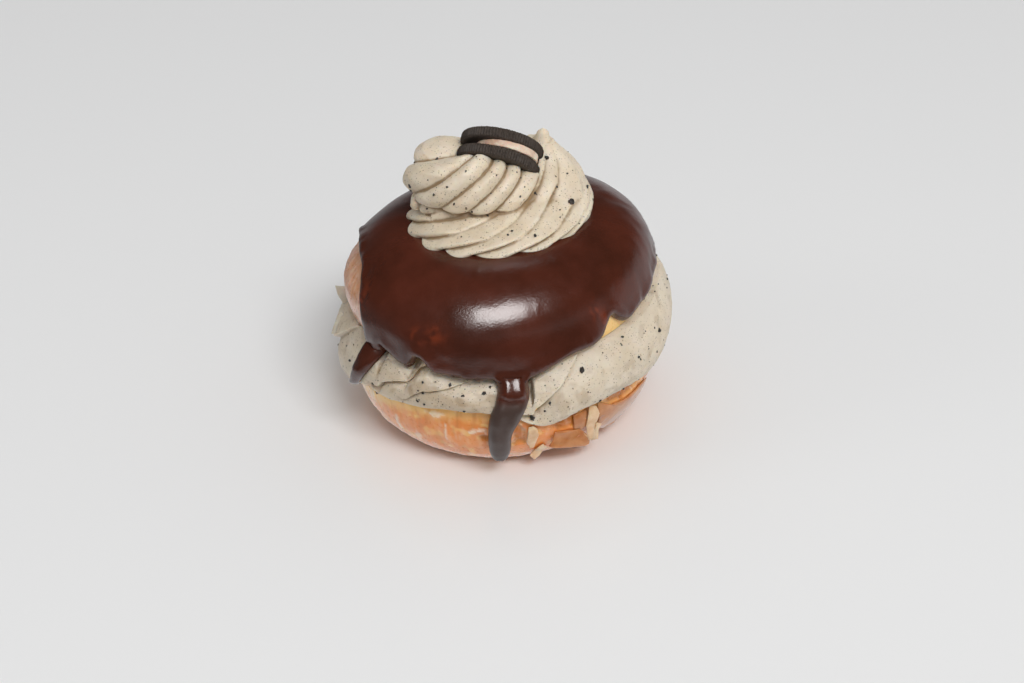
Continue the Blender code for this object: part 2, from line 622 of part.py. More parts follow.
def icing_top():
    """A lid that follows the icing's top, to cut the swirl's foot by."""
    profile = upper_profile()
    profile = profile[profile[:, 0] < 40 * MM]
    angles = np.linspace(0, FULL_TURN, 36, endpoint=False)
    lift = ICING_THICKNESS + GAP
    rings = [ring_points(angles, 40 * MM, 50 * MM, UPPER_CENTRE_X)]
    for radius, height in profile[4::4][::-1]:
        rings.append(tilted(ring_points(angles, radius, height + lift, UPPER_CENTRE_X)))
    return lathe("lid", rings, (UPPER_CENTRE_X, 0, 50 * MM), (UPPER_CENTRE_X, 0, profile[0, 1] + lift))


def disc(name, radius, low, high, columns, material=None):
    """A plain disc on the biscuit's axis, between two distances along it."""
    angles = np.linspace(0, FULL_TURN, columns, endpoint=False)
    rings = [on_biscuit(radius * np.cos(angles), radius * np.sin(angles), z) for z in (low, high)]
    ends = [on_biscuit(np.zeros(1), np.zeros(1), z)[0] for z in (low, high)]
    return lathe(name, rings, ends[0], ends[1], material)


def on_biscuit(x, y, along):
    """World points from places measured in the biscuit's own frame."""
    frame = BISCUIT_AXIS.to_track_quat("Z", "Y").to_matrix()
    local = np.c_[x, y, np.broadcast_to(along, x.shape)]
    return local @ np.array(frame).T + np.array(BISCUIT_CENTRE)


def cream_swirl(material):
    obj = join_meshes("cream_swirl", [swirl_core(), peak_tip(), *winding_ridges(), *top_ridges()])
    obj.data.materials.append(material)
    remesh = obj.modifiers.new("remesh", "REMESH")
    remesh.mode = "VOXEL"
    remesh.voxel_size = SWIRL_VOXEL
    apply_modifiers(obj)
    decimate = obj.modifiers.new("decimate", "DECIMATE")
    decimate.ratio = SWIRL_TRIANGLES / (2 * len(obj.data.polygons))
    apply_modifiers(obj)
    half = 0.5 * BISCUIT_FILLING_THICKNESS + WAFER_THICKNESS + GAP
    seat = disc("seat", BISCUIT_RADIUS + GAP, -half, half, 48)
    combine(obj, [icing_top(), seat], "DIFFERENCE")
    finish(obj)


# Sandwich biscuit


def wafer(name, low, material):
    """A round wafer with a ribbed rim, its outer corners rounded."""
    columns = 2 * WAFER_RIBS
    angles = np.linspace(0, FULL_TURN, columns, endpoint=False)
    ribs = np.where(np.arange(columns) % 2 == 0, 0, WAFER_RIB_DEPTH)
    high = low + WAFER_THICKNESS
    corner, rise = WAFER_CORNER
    rings = []
    for inset, along in ((corner, low), (0, low + rise), (0, high - rise), (corner, high)):
        radius = BISCUIT_RADIUS - inset - (ribs if inset == 0 else 0)
        rings.append(on_biscuit(radius * np.cos(angles), radius * np.sin(angles), along))
    ends = [on_biscuit(np.zeros(1), np.zeros(1), along)[0] for along in (low, high)]
    finish(lathe(name, rings, ends[0], ends[1], material))


def biscuit(dark, pale):
    """Two wafers with a disc of cream between them, set off to one side."""
    half = 0.5 * BISCUIT_FILLING_THICKNESS
    wafer("biscuit_lower_wafer", -half - WAFER_THICKNESS, dark)
    wafer("biscuit_upper_wafer", half, dark)
    angles = np.linspace(0, FULL_TURN, 36, endpoint=False)
    levels = (0.5 * GAP - half, half - 0.5 * GAP)
    x = BISCUIT_FILLING_SHIFT + BISCUIT_FILLING_RADIUS * np.cos(angles)
    y = BISCUIT_FILLING_RADIUS * np.sin(angles)
    rings = [on_biscuit(x, y, level) for level in levels]
    ends = [on_biscuit(np.array([BISCUIT_FILLING_SHIFT]), np.zeros(1), level)[0] for level in levels]
    finish(lathe("biscuit_cream", rings, ends[0], ends[1], pale))


def main():
    for obj in list(bpy.data.objects):
        bpy.data.objects.remove(obj)
    crust = principled("glazed_crust", (0.62, 0.29, 0.12), 0.35, 0.4)
    upper_crust = principled("upper_crust", (0.62, 0.27, 0.12), 0.35, 0.4)
    cream = principled("filling_cream", (0.66, 0.60, 0.50), 0.6)
    piped = principled("swirl_cream", (0.68, 0.60, 0.49), 0.6)
    chocolate = principled("chocolate", (0.06, 0.018, 0.010), 0.2, 0.6)
    dark = principled("dark_wafer", (0.030, 0.020, 0.016), 0.7)
    pale = principled("biscuit_cream", (0.70, 0.58, 0.46), 0.6)
    lower_bun(crust)
    cream_filling(cream)
    upper_bun(upper_crust)
    chocolate_icing(chocolate)
    cream_swirl(piped)
    biscuit(dark, pale)


main()
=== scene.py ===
"""A split doughnut with a piped filling, poured icing, a piped swirl and a small sandwich
biscuit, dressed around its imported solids. Metres, +Z up, front towards -Y. Angles run
anticlockwise from +X."""

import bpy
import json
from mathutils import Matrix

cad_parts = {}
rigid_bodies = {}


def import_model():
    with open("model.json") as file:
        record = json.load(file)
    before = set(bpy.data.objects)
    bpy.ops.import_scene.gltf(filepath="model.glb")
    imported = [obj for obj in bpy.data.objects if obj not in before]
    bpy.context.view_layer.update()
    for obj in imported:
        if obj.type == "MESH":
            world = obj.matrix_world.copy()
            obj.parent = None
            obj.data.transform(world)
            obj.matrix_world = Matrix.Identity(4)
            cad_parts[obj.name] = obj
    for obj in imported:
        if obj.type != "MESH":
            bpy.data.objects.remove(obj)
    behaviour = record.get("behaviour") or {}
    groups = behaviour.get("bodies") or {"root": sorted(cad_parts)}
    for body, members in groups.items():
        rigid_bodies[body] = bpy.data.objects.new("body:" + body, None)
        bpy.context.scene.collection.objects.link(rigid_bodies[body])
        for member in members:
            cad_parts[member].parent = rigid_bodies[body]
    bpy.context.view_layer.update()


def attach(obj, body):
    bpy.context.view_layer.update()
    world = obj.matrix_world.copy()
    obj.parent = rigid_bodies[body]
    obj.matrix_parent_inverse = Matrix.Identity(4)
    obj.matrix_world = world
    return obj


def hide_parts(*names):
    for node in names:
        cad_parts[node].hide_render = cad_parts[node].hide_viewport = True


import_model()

import json
from math import cos, pi, radians, sin

import bmesh
import bpy
import numpy as np
from bpy.props import FloatProperty, FloatVectorProperty, IntProperty, PointerProperty
from mathutils import Euler, Matrix, Vector, geometry, kdtree, noise
from mathutils.bvhtree import BVHTree

bl_info = {
    "name": "Filled Doughnut",
    "version": (1, 0, 0),
    "blender": (4, 5, 0),
    "location": "View3D > Sidebar > Doughnut",
    "description": "Dresses the solids of a split, filled and iced doughnut",
    "category": "Add Mesh",
}

MM = 0.001
FULL_TURN = 2 * pi

# Camera, matched to the photograph
CAMERA_PLACE = Vector((0.00293, -0.54083, 0.35733))
CAMERA_ELEVATION = radians(32)
LENS = 70.0
SENSOR = 36.0
IMAGE = (1024, 683)

# The soft light from above leans over to the right
SKY_TILT = radians(11)

# Tables without angles of their own hold values spaced evenly round a full turn from +X. The grids
# are the columns and rings of a body's points, and the sides are the shares of its rings at which
# its side begins and ends.

# Lower half
LOWER_GRID = (480, 110)
LOWER_SIDE = (0.08, 0.84)
FOOT_RADIUS = np.array([31.5, 33, 33, 33, 33, 33.5, 32.6, 28.5]) * MM
LOWER_RADIUS = 47.8 * MM
LOWER_WIDEST_Z = 20.0 * MM
LOWER_CUT_MIDDLE_Z = 20.5 * MM
CUT_CORNER = 0.7 * MM
CUT_CORNER_FROM = 0.94
LOWER_RIM_Z = np.array([25, 26, 25, 23.5, 21.5, 19, 15.5, 19.5, 24, 25.4, 24, 23]) * MM

# Upper half
UPPER_GRID = (400, 90)
UPPER_SIDE = (0.1, 0.6)
UPPER_CENTRE_X = -1.2 * MM
UPPER_RADIUS = 47.4 * MM
UPPER_WIDEST_Z = 45.0 * MM
CREST_RADIUS = 25.0 * MM
CREST_Z = 63.8 * MM
DIMPLE_DEPTH = 2.4 * MM
UNDERSIDE_DEPTH = 26.0 * MM
UPPER_CUT_MIDDLE_Z = 40.0 * MM
UPPER_TILT = 0.09
TILT_FROM_Z = 42.0 * MM
TILT_RAMP = 18.0 * MM
BUN_INSET = 0.45 * MM
# Middle, half width, height, half height and swell of the side that no icing covers
BARE_FLANK = (radians(178), radians(29), 43.0 * MM, 9.0 * MM, 1.6 * MM)
UPPER_RIM_Z = np.array([46.5, 46.5, 45.5, 43.5, 40.5, 36.5, 33.5, 37, 38.5, 37, 41.5, 44]) * MM

# Filling: the foot and the top of its side, how far the side swells, and its folds, each a place in
# degrees and a depth in mm
FILLING_GRID = (640, 110)
FILLING_SIDE = (0.1, 0.9)
LIP_LOW_Z = np.array([24, 25, 25.5, 25, 24.5, 23.8, 22.8, 22, 20.8, 19.5, 18, 16, 13.8, 13.6, 19.2, 21,
                      23, 24.8, 24.2, 19.4, 22.6, 23.2, 22, 22]) * MM
LIP_LOW_RADIUS = 49.4 * MM
LIP_HIGH_RADIUS = np.array([49, 49, 48.5, 48, 47.5, 48, 48.5, 46.4, 45.4, 45.2, 45.8, 48]) * MM
BULGE = np.array([4.15, 4.2, 3.6, 3.1, 3.1, 3.7, 4.8, 4.6, 3.8, 4.2, 5.0, 4.8]) * MM
FOLDS = ((-91.5, 4.4), (-46, 2.6), (-4, 2.2), (42, 2.6), (84, 2.0), (128, 2.4), (168, 2.2),
         (213, 2.5), (228, 1.4))
FOLD_SWELL = 0.5
FOLD_EDGE = 0.035
LOBE_LEAN = radians(32)
FILLING_GAP = 0.4 * MM
FILLING_INNER_RADIUS = 43.5 * MM

# Middle and half width of the two drips
DRIPS = ((radians(-86.5), radians(6.4)), (radians(-146), radians(8)))

# Icing: its inner surface where it hangs down, its edge as places in degrees and heights in mm, and
# the head of the long drip as a place and its foot, shoulder and end
HANG_RADIUS = np.array([47.8, 49.6, 51.0, 50.9, 50.0, 48.2, 45.4, 43.4]) * MM
HANG_Z = np.array([34.0, 31.5, 28.0, 23.0, 17.0, 11.0, 6.0, 3.5]) * MM
ICING_EDGE = (
    (-147.6, 36), (-148, 30), (-151, 23.6), (-153.8, 19), (-149.5, 20), (-145.6, 23.6), (-141.4, 28.4),
    (-138, 33.5), (-136, 37.8), (-131, 36.6), (-125, 34.4), (-119.5, 40), (-115.5, 36.8), (-110, 35.4),
    (-100, 34.8), (-92.5, 35.2), (-90.4, 33), (-91, 29), (-92.8, 24.4), (-93.4, 18), (-93.2, 11),
    (-91.8, 7.4), (-87.0, 7.4), (-85.6, 11), (-85.2, 18), (-82.4, 24), (-79.4, 30.4),
    (-78.6, 35.2), (-73, 37.8), (-65, 41.2), (-55.5, 42.4), (-50.4, 44), (-47.6, 47), (-45.4, 48.4),
    (-42, 46.6), (-38, 45), (-31, 45.6), (-22, 46.6), (-10, 48), (4, 48.5),
    (18, 46), (34, 47.5), (48, 44), (62, 46.5), (78, 42), (92, 44.5), (108, 41), (122, 43),
    (138, 40.5), (150, 44), (160, 52), (172, 56), (186, 57), (199, 56), (208, 50), (212, 42),
)
DRIP_HEAD = (-84.8, 30.6, 36.0, 40.0)
DRIP_HEAD_WIDTH = (3.9 * MM, 5.4 * MM)

# Thin, reddish spots and small bubbles of the icing: degrees round, mm up, and a spot's size in mm
ICING_GLOWS = ((-150.3, 52.2, 3.4), (-119, 48.2, 2.4), (-112, 49.8, 2.6), (-49.7, 49.2, 1.8),
               (-53.5, 51.6, 1.6))
ICING_BUBBLES = (
    (-100.1, 62.4), (-91.3, 62.8), (-14.5, 67.4), (-22.1, 65.8), (-34.5, 60.0), (-137.0, 53.6),
    (-99.5, 48.5), (-126, 55.5), (-75, 56.0), (-60, 62.0), (-44, 55.0), (-108, 44.0), (-84, 45.5),
    (-150, 60.5), (-119, 60.0),
)
BUBBLE_HEIGHT = 0.16 * MM
BUBBLE_SIZE = 0.75
OUTLINE_STEPS = 12
NORMAL_STEP = 1.2 * MM

# Pieces of broken glaze on the lower half: corners in degrees round and mm up, how far they lie
# off the crust, and the height below which they hang straight down, in mm
CRUST_SHELLS = (
    (((-53.4, 22), (-52.4, 16.4), (-51.0, 11.4), (-45, 7.0), (-37, 5.6), (-28, 8.4), (-20, 12.4),
      (-19, 16), (-27, 17.4), (-37, 17.4), (-46, 18.4)), 0.35, 7),
    (((-70.2, 14.9), (-65.2, 14.3), (-59.6, 13.4), (-57.2, 11.0), (-55.0, 8.6), (-55.6, 6.6),
      (-57.2, 6.3), (-63.8, 7.5), (-71.2, 8.8), (-72.4, 9.5), (-71.0, 11.4)), 0.5, 13),
    (((-63.2, 19.6), (-57.4, 20.6), (-56.6, 13.0), (-58.8, 12.4), (-62.4, 14.2)), 0.1, 12),
)
GLAZE_SHELLS = (
    (((-57.2, 22), (-54.0, 20.9), (-52.5, 17.7), (-53.3, 13.2), (-53.6, 7.9), (-56.2, 8.4),
      (-57.7, 14.5)), 0.9, 13),
    (((-53.5, 14.6), (-51.0, 13.2), (-51.7, 7.2), (-54.6, 7.6)), 1.5, 11),
    (((-74.4, 10.4), (-72.3, 8.2), (-75.3, 5.0), (-77.2, 3.9), (-79.2, 5.4), (-76.6, 8.8)), 0.7, 7),
    (((-80.6, 18.5), (-78.8, 19.0), (-77.3, 17.8), (-76.6, 15.0), (-78.0, 10.0), (-79.6, 9.6),
      (-81.1, 12.6)), 0.6, 11),
    (((-58.2, 11.6), (-55.4, 9.4), (-56.1, 7.8), (-57.9, 8.7)), 1.2, 11),
)
SHELL_HALF_THICKNESS = 0.42 * MM
SHELL_STEPS = 6
SHELL_RINGS = 14
SHELL_COLOURS = (
    ("crust_shells", CRUST_SHELLS, (0.43, 0.155, 0.042), (0.54, 0.25, 0.10)),
    ("glaze_shells", GLAZE_SHELLS, (0.62, 0.37, 0.20), (0.76, 0.55, 0.35)),
)

# Marks on the lower half: degrees round and mm up, half width and half height in mm
PALE_MARKS = ((-115.6, 20.8, 3.0, 1.3), (-112.6, 21.4, 1.8, 0.9), (-97.8, 17.4, 2.6, 1.1),
              (-100.4, 16.6, 1.6, 0.8), (-111, 15.5, 0.5, 4.2), (-133, 12, 1.2, 3.4),
              (-146, 16, 1.0, 3.0), (-124, 9.5, 1.4, 2.2))
SPONGE_MARKS = ((-66, 17.8, 7.4, 3.2), (-84, 15.5, 2.6, 4.5), (-40, 20.4, 9.0, 2.4), (-96.6, 14.6, 1.4, 1.2),
                (-28, 22, 7.0, 1.6))
FLANK_MARKS = ((-161, 38.5, 1.6, 1.3), (-157, 36.5, 1.6, 1.8))

# Flakes at the left: middle in mm, direction they face, corners across and up in mm
SIDE_FLAKES = (
    ((-51.0, 5.0, 34.0), (-0.25, -0.85, 0.45),
     ((-2.9, 2.4), (3.5, 2.8), (3.6, -2.6), (0.6, -2.9), (-1.6, -0.4))),
    ((-51.2, -4.0, 28.2), (-0.35, -0.85, 0.4),
     ((-0.9, 4.2), (1.6, 3.4), (3.2, -3.2), (-2.8, -3.6), (-2.4, -1.0))),
)

# Swirl: its mound, the ridges that wind up it, and the side where they are smeared smooth
MOUND_GRID = (500, 130)
LID_GRID = (90, 60)
TIER_GRID = (460, 120)
SWIRL_FOOT = Vector((-1.5, 0.5, 65.5)) * MM
SWIRL_PEAK = Vector((12.3, 6.4, 90.8)) * MM
MOUND_Z = np.array([64, 66, 69, 72, 75, 79, 83, 87, 90]) * MM
MOUND_RADIUS = np.array([27.5, 28.8, 27.8, 25.4, 22.4, 18.4, 12.5, 6.2, 2.6]) * MM
RIDGE_CREASES = np.radians([-178, -152, -128, -106, -78, -52, -28, -4, 20, 44, 68, 92, 116, 140, 162])
RIDGE_TURN_Z = np.array([66.2, 68, 70, 72, 75, 79, 84, 91]) * MM
RIDGE_TURN = np.radians([0, 14, 27, 42, 60, 69, 77, 84])
RIDGE_DEPTH_Z = np.array([66, 70, 76, 84, 90]) * MM
RIDGE_DEPTH = np.array([3.0, 3.0, 2.4, 1.5, 0.4]) * MM
RIDGE_SKEW = 1.3
RIDGE_ROUNDING = 0.52
SMOOTH_SIDE = (radians(22), radians(64))
# Place, share, height and reach of the dent in its front
FRONT_DENT = (radians(-112), 0.48, 70.0 * MM, 5.0 * MM)
# The swirl's upper tier: its middle, its radius and the height of its top round a full turn from
# +X, how its radius goes from the bottom to the top, its creases at the bottom, and their turn
TIER_CENTRE = Vector((-2.0, 2.0)) * MM
TIER_BOTTOM_Z = 72.3 * MM
TIER_RADIUS = np.array([19, 18, 17, 17, 20.5, 25, 28.6, 26, 21.8, 18.4, 16.8, 17]) * MM
TIER_TOP_Z = np.array([83.5, 83, 82, 83, 86.5, 88.6, 88.2, 88, 91.2, 90.0, 88.2, 85.5]) * MM
TIER_RISE = (0, 0.12, 0.3, 0.55, 0.78, 0.92, 1)
TIER_REACH = (0.80, 0.96, 1.0, 0.98, 0.91, 0.79, 0.60)
TIER_CREASES = np.radians([142, -177, -146, -122, -97, -64, -26, 14, 52, 86])
TIER_TURN = radians(52)
TIER_DEPTH = 2.7 * MM

# Small ridges below the tier: ends as image places with the distance towards the back in mm, and
# half widths in mm
LOOSE_RIDGES = (
    ((458, 206, -10), (475, 203, -11), 2.5), ((424, 197, 4), (415, 207, -4), 2.6),
    ((422, 209, -6.5), (454, 214, -11), 1.9), ((433, 218, -9.5), (472, 217, -12.4), 1.8),
)

# Biscuit
BISCUIT_CENTRE = Vector((-0.6, 0.6, 86.25)) * MM
BISCUIT_AXIS = Vector((0.2, 0.69, 0.695)).normalized()
BISCUIT_FILLING_THICKNESS = 1.4 * MM
BISCUIT_FILLING_SHIFT = 2.7 * MM
BISCUIT_GAPE = radians(3.4)
BISCUIT_GAPE_SIDE = radians(150)
WAFER_CORNER = 1.6 * MM
RIB_DEPTH = 0.5 * MM
SEAT_SPARE = (0.15 * MM, 0.3 * MM)
MIDDLE_SEAT_SPARE = (-0.8 * MM, 3.0 * MM)
SEAT_GRID = (96, 40)
MIDDLE_SEAT_GRID = (96, 20)
WAFER_CREAM_GRID = (160, 40)
RIB_COLUMNS = 5
WAFER_RINGS = 44

# Crumbs in the cream, as image places and sizes in mm
CRUMB_COLOUR = (0.024, 0.021, 0.018)
SWIRL_CRUMBS = (
    (547, 158, 1.5), (571, 202, 2.0), (587, 187, 1.2), (557, 187, 0.8), (535, 236, 1.2), (512, 231, 0.9),
    (437, 159, 1.0), (434, 195, 1.0), (447, 187, 0.8), (428, 180, 0.7), (410, 186, 1.2), (535, 193, 0.9),
    (508, 235, 0.8), (454, 204, 0.8), (560, 210, 0.7),
)
FILLING_CRUMBS = (
    (582, 370, 1.9), (533, 418, 2.1), (659, 330, 1.3), (450, 385, 1.3), (484, 393, 1.3), (463, 396, 1.0),
    (622, 337, 1.0), (490, 387, 0.9), (550, 403, 1.0), (643, 299, 1.1), (667, 279, 0.8), (423, 393, 0.8),
    (653, 286, 0.7), (568, 407, 0.7), (588, 392, 0.6), (622, 345, 0.7),
)

# Scattered crumbs: how many there are and the seed of their draws, their least size and how far it
# varies in mm, and where they may lie: the filling's least radius, furthest back and furthest out
FILLING_SCATTER = (130, 31)
SWIRL_SCATTER = (80, 51)
SCATTERED_SIZE = (0.32, 0.75)
FILLING_WINDOW = (48.0 * MM, 50.3 * MM, 52.4 * MM)
SWIRL_CRUMBS_FROM_Z = 68.0 * MM

# Bumps of each surface: height and size in mm, seed and octaves
ICING_BUMPS = ((0.16, 13, 3, 2), (0.03, 3.5, 4, 2))
FILLING_BUMPS = ((0.28, 6, 21, 3), (0.07, 1.5, 22, 2))
SWIRL_BUMPS = ((0.10, 3.2, 41, 3), (0.05, 1.1, 42, 2))
WAFER_BUMPS = ((0.09, 0.9, 61, 3), (0.06, 3, 62, 2))
WAFER_CREAM_BUMPS = ((0.12, 1.5, 63, 3),)

# Painted shade in hollows: rounds of smoothing, and the depths between which the shade sets in
FILLING_HOLLOW_SHADE = (60, 0.04 * MM, 0.6 * MM)
SWIRL_HOLLOW_SHADE = (40, 0.02 * MM, 0.42 * MM)
# Painted highlight on the wafers' rib crests: rounds of smoothing, and the height above the surroundings at
# which it is full
CREST_HIGHLIGHT_ROUNDS = 4
CREST_HIGHLIGHT_HEIGHT = 0.07 * MM

# Shadow of the icing on the filling: strength, place and width in degrees, and the heights between
# which it sets in
FILLING_SHADE = (0.6, -112, 22, 20 * MM, 33 * MM)

# Where the long drip turns greyer and rougher, the grey a painted reflection of the pale floor: its place,
# the half widths and the heights between which it fades
DRIP_REFLECTION = (radians(-88), 6 * MM, 8 * MM, 28 * MM, 31.5 * MM)

# Specks in the cream: cells to a metre, the share of them that hold a speck, and its size in cells.
# The finer ones are a shade of the cream itself.
DUST_SPECKS = ((1900.0, 0.40, 0.30), (1050.0, 0.19, 0.27))
DARK_SPECKS = ((900.0, 0.06, 0.24), (560.0, 0.03, 0.20))

# Lights: name, azimuth and elevation in degrees and distance in m, size in m, and whether shiny
# parts show the light
LIGHTS = (
    ("key", (-64, 50, 4.0), (2.0, 1.0), False),
    ("gleam", (-96, 46, 4.0), (2.3, 1.9), True),
    ("fill", (-165, 24, 3.5), (1.4, 1.0), False),
    ("back", (100, 58, 2.6), (0.5, 0.25), True),
)
LIT_PLACE = Vector((0, 0, 50)) * MM
GLEAM_ROLL = radians(14)
SKY_WIDTH = radians(150)


# Settings shown in the sidebar


def length(name, description, default):
    return FloatProperty(name=name, description=description, default=default, unit="LENGTH",
                         subtype="DISTANCE", min=0, precision=5)


def colour(name, description, default):
    return FloatVectorProperty(name=name, description=description, default=default,
                               subtype="COLOR", size=3, min=0, max=1)


class DoughSettings(bpy.types.PropertyGroup):
    crust: colour("Crust", "Glazed crust away from the cut", (0.81, 0.305, 0.08))
    band: colour("Band", "Golden band under the cut", (0.89, 0.56, 0.20))
    # Deep is also painted in the lower half's lowest 3 mm, in its recessed streaks and in the flank's
    # recessed folds
    deep: colour("Deep", "Browner dough where the glaze is broken", (0.50, 0.16, 0.025))
    glaze: colour("Glaze", "Whitish cracked glaze", (0.86, 0.70, 0.55))
    flank: colour("Flank", "Pink glazed side without icing", (0.74, 0.44, 0.335))
    wrinkle: length("Wrinkle", "Height of the wrinkles in the glaze", 0.22 * MM)


class CreamSettings(bpy.types.PropertyGroup):
    filling: colour("Filling", "Cream between the halves", (0.67, 0.59, 0.475))
    swirl: colour("Swirl", "Piped cream on top", (0.725, 0.635, 0.505))
    # Painted shade: the darker, browner colour painted into the cream's folds and creases
    hollow: colour("Hollow", "Cream deep in folds, browned by dust", (0.31, 0.205, 0.105))
    specks: colour("Specks", "Fine biscuit dust in the cream", (0.045, 0.034, 0.024))
    voxel: length("Voxel", "Cell in which the swirl's ridges melt together", 0.34 * MM)


class IcingSettings(bpy.types.PropertyGroup):
    dark: colour("Dark", "Chocolate icing", (0.048, 0.0115, 0.0052))
    warm: colour("Warm", "Redder parts of the icing", (0.088, 0.0185, 0.0085))
    glow: colour("Glow", "Thin, reddish spots of the icing", (0.24, 0.040, 0.012))
    # Painted reflection of the pale floor: greyer icing on the long drip, which is also rougher there
    dull: colour("Dull", "Greyer icing on the long drip", (0.060, 0.034, 0.026))
    thickness: length("Thickness", "Thickness of the icing", 2.2 * MM)
    border: length("Border", "Width of the icing's rounded border", 2.6 * MM)
    spacing: length("Spacing", "Distance between the points of its surface", 0.95 * MM)
    swell: length("Swell", "Extra thickness at the head of the long drip", 1.5 * MM)
    wave: length("Wave", "Height of the waves along the border", 0.55 * MM)
    bead: length("Bead", "Height of the thicker rim at the left and the right", 0.9 * MM)


class BiscuitSettings(bpy.types.PropertyGroup):
    wafer: colour("Wafer", "Dark cocoa wafers", (0.023, 0.015, 0.010))
    cream: colour("Cream", "Cream between the wafers", (0.80, 0.70, 0.56))
    radius: length("Radius", "Radius of the wafers", 12.7 * MM)
    thickness: length("Thickness", "Thickness of one wafer", 3.4 * MM)
    ribs: IntProperty(name="Ribs", description="Ribs round a wafer's rim", default=84, min=8)


class StageSettings(bpy.types.PropertyGroup):
    floor: colour("Floor", "Plain floor", (0.82, 0.82, 0.82))
    key: FloatProperty(name="Key", description="Power of the front light", default=94.0, min=0)
    gleam: FloatProperty(name="Gleam", description="Power of the light that only shiny parts show",
                         default=210.0, min=0)
    fill: FloatProperty(name="Fill", description="Power of the light at the left", default=8.0, min=0)
    back: FloatProperty(name="Back", description="Power of the back light", default=1.0, min=0)
    sky: FloatProperty(name="Sky", description="Strength of the soft light from above", default=1.5, min=0)
    horizon: FloatProperty(name="Horizon", description="Brightness of the surroundings low down",
                           default=0.45, min=0)


class DoughnutSettings(bpy.types.PropertyGroup):
    dough: PointerProperty(type=DoughSettings, name="Dough", description="The two halves")
    cream: PointerProperty(type=CreamSettings, name="Cream", description="Filling and swirl")
    icing: PointerProperty(type=IcingSettings, name="Icing", description="Chocolate icing")
    biscuit: PointerProperty(type=BiscuitSettings, name="Biscuit", description="Sandwich biscuit")
    stage: PointerProperty(type=StageSettings, name="Stage", description="Floor and lights")


# Meshes


def deselect():
    for obj in bpy.context.view_layer.objects:
        if obj.select_get():
            obj.select_set(False)


def pick(obj):
    deselect()
    obj.select_set(True)
    bpy.context.view_layer.objects.active = obj


def get_points(obj):
    points = np.empty(len(obj.data.vertices) * 3, np.float32)
    obj.data.vertices.foreach_get("co", points)
    return points.reshape(-1, 3).astype(float)


def set_points(obj, points):
    obj.data.vertices.foreach_set("co", np.asarray(points, np.float32).ravel())
    obj.data.update()


def get_normals(obj):
    normals = np.empty(len(obj.data.vertices) * 3, np.float32)
    obj.data.vertices.foreach_get("normal", normals)
    return normals.reshape(-1, 3).astype(float)


def paint(obj, name, values):
    """Keeps a value for each vertex, for the material to read."""
    attribute = obj.data.attributes.new(name, "FLOAT", "POINT")
    attribute.data.foreach_set("value", np.asarray(values, np.float32))


def noise_at(points, size, seed=0, octaves=3):
    """Smooth noise, about -1 to 1, with lumps of a size."""
    shift = Vector((17.3 * seed, -9.1 * seed, 5.7 * seed))
    return np.array([noise.fractal(Vector(p) / size + shift, 1.0, 2.0, octaves) for p in points])


def bumps(points, rows):
    """Sum of noises, each given as its height and size in mm, its seed and its octaves."""
    return sum(height * MM * noise_at(points, size * MM, seed, octaves)
               for height, size, seed, octaves in rows)


def push(obj, amounts):
    """Moves each vertex along its normal."""
    set_points(obj, get_points(obj) + get_normals(obj) * np.asarray(amounts)[:, None])


def sphere_body(name, columns, rings, place):
    """A closed body: a sphere, each point moved to where place(angle, share) says. The share
    runs from 0 at the bottom to 1 at the top."""
    deselect()
    bpy.ops.mesh.primitive_uv_sphere_add(segments=columns, ring_count=rings, location=(0, 0, 0))
    obj = bpy.context.object
    obj.name = obj.data.name = name
    points = get_points(obj)
    angle = np.arctan2(points[:, 1], points[:, 0])
    share = np.rint((1 - np.arccos(np.clip(points[:, 2], -1, 1)) / pi) * rings) / rings
    set_points(obj, place(angle, share))
    return obj


def code_body(name, points, faces):
    """A closed body from points and faces, its faces turned outwards."""
    mesh = bpy.data.meshes.new(name)
    mesh.from_pydata([tuple(p) for p in points], [], [tuple(f) for f in faces])
    obj = bpy.data.objects.new(name, mesh)
    bpy.context.collection.objects.link(obj)
    pick(obj)
    bpy.ops.object.mode_set(mode="EDIT")
    bpy.ops.mesh.select_all(action="SELECT")
    bpy.ops.mesh.normals_make_consistent(inside=False)
    bpy.ops.object.mode_set(mode="OBJECT")
    return obj


def apply_modifier(obj, kind, **settings):
    pick(obj)
    modifier = obj.modifiers.new(kind, kind)
    for name, value in settings.items():
        setattr(modifier, name, value)
    bpy.ops.object.modifier_apply(modifier=modifier.name)


def join(objects, name):
    pick(objects[0])
    for obj in objects:
        obj.select_set(True)
    bpy.ops.object.join()
    objects[0].name = objects[0].data.name = name
    return objects[0]


def dress(obj, material, slot, *nodes, smooth=True):
    """Finishes a piece: its shading, material and body, and the nodes it stands for. Its slot is not used.
    """
    obj.data.materials.clear()
    obj.data.materials.append(material)
    obj.data.polygons.foreach_set("use_smooth", [smooth] * len(obj.data.polygons))
    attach(obj, "root")
    if nodes:
        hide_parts(*nodes)


def between(share, a, b, c, d):
    """A smooth curve from b to c, whose neighbours are a and d."""
    return b + 0.5 * share * (c - a + share * (2 * a - 5 * b + 4 * c - d + share * (3 * (b - c) + d - a)))


def ring_value(values, angle):
    """Smooth value at an angle, from values spaced evenly round a full turn."""
    count = len(values)
    position = (angle % FULL_TURN) / FULL_TURN * count
    first = np.floor(position).astype(int)
    return between(position - first, *(values[(first + k) % count] for k in (-1, 0, 1, 2)))


def smooth_loop(points, per_span):
    """A smooth closed curve through the rows of an array."""
    share = (np.arange(per_span) / per_span)[None, :, None]
    curve = between(share, *(np.roll(points, -k, axis=0)[:, None, :] for k in (-1, 0, 1, 2)))
    return curve.reshape(-1, points.shape[1])


def away_from(angles, middle):
    """Angle from a middle, within half a turn either way."""
    return (angles - middle + pi) % FULL_TURN - pi


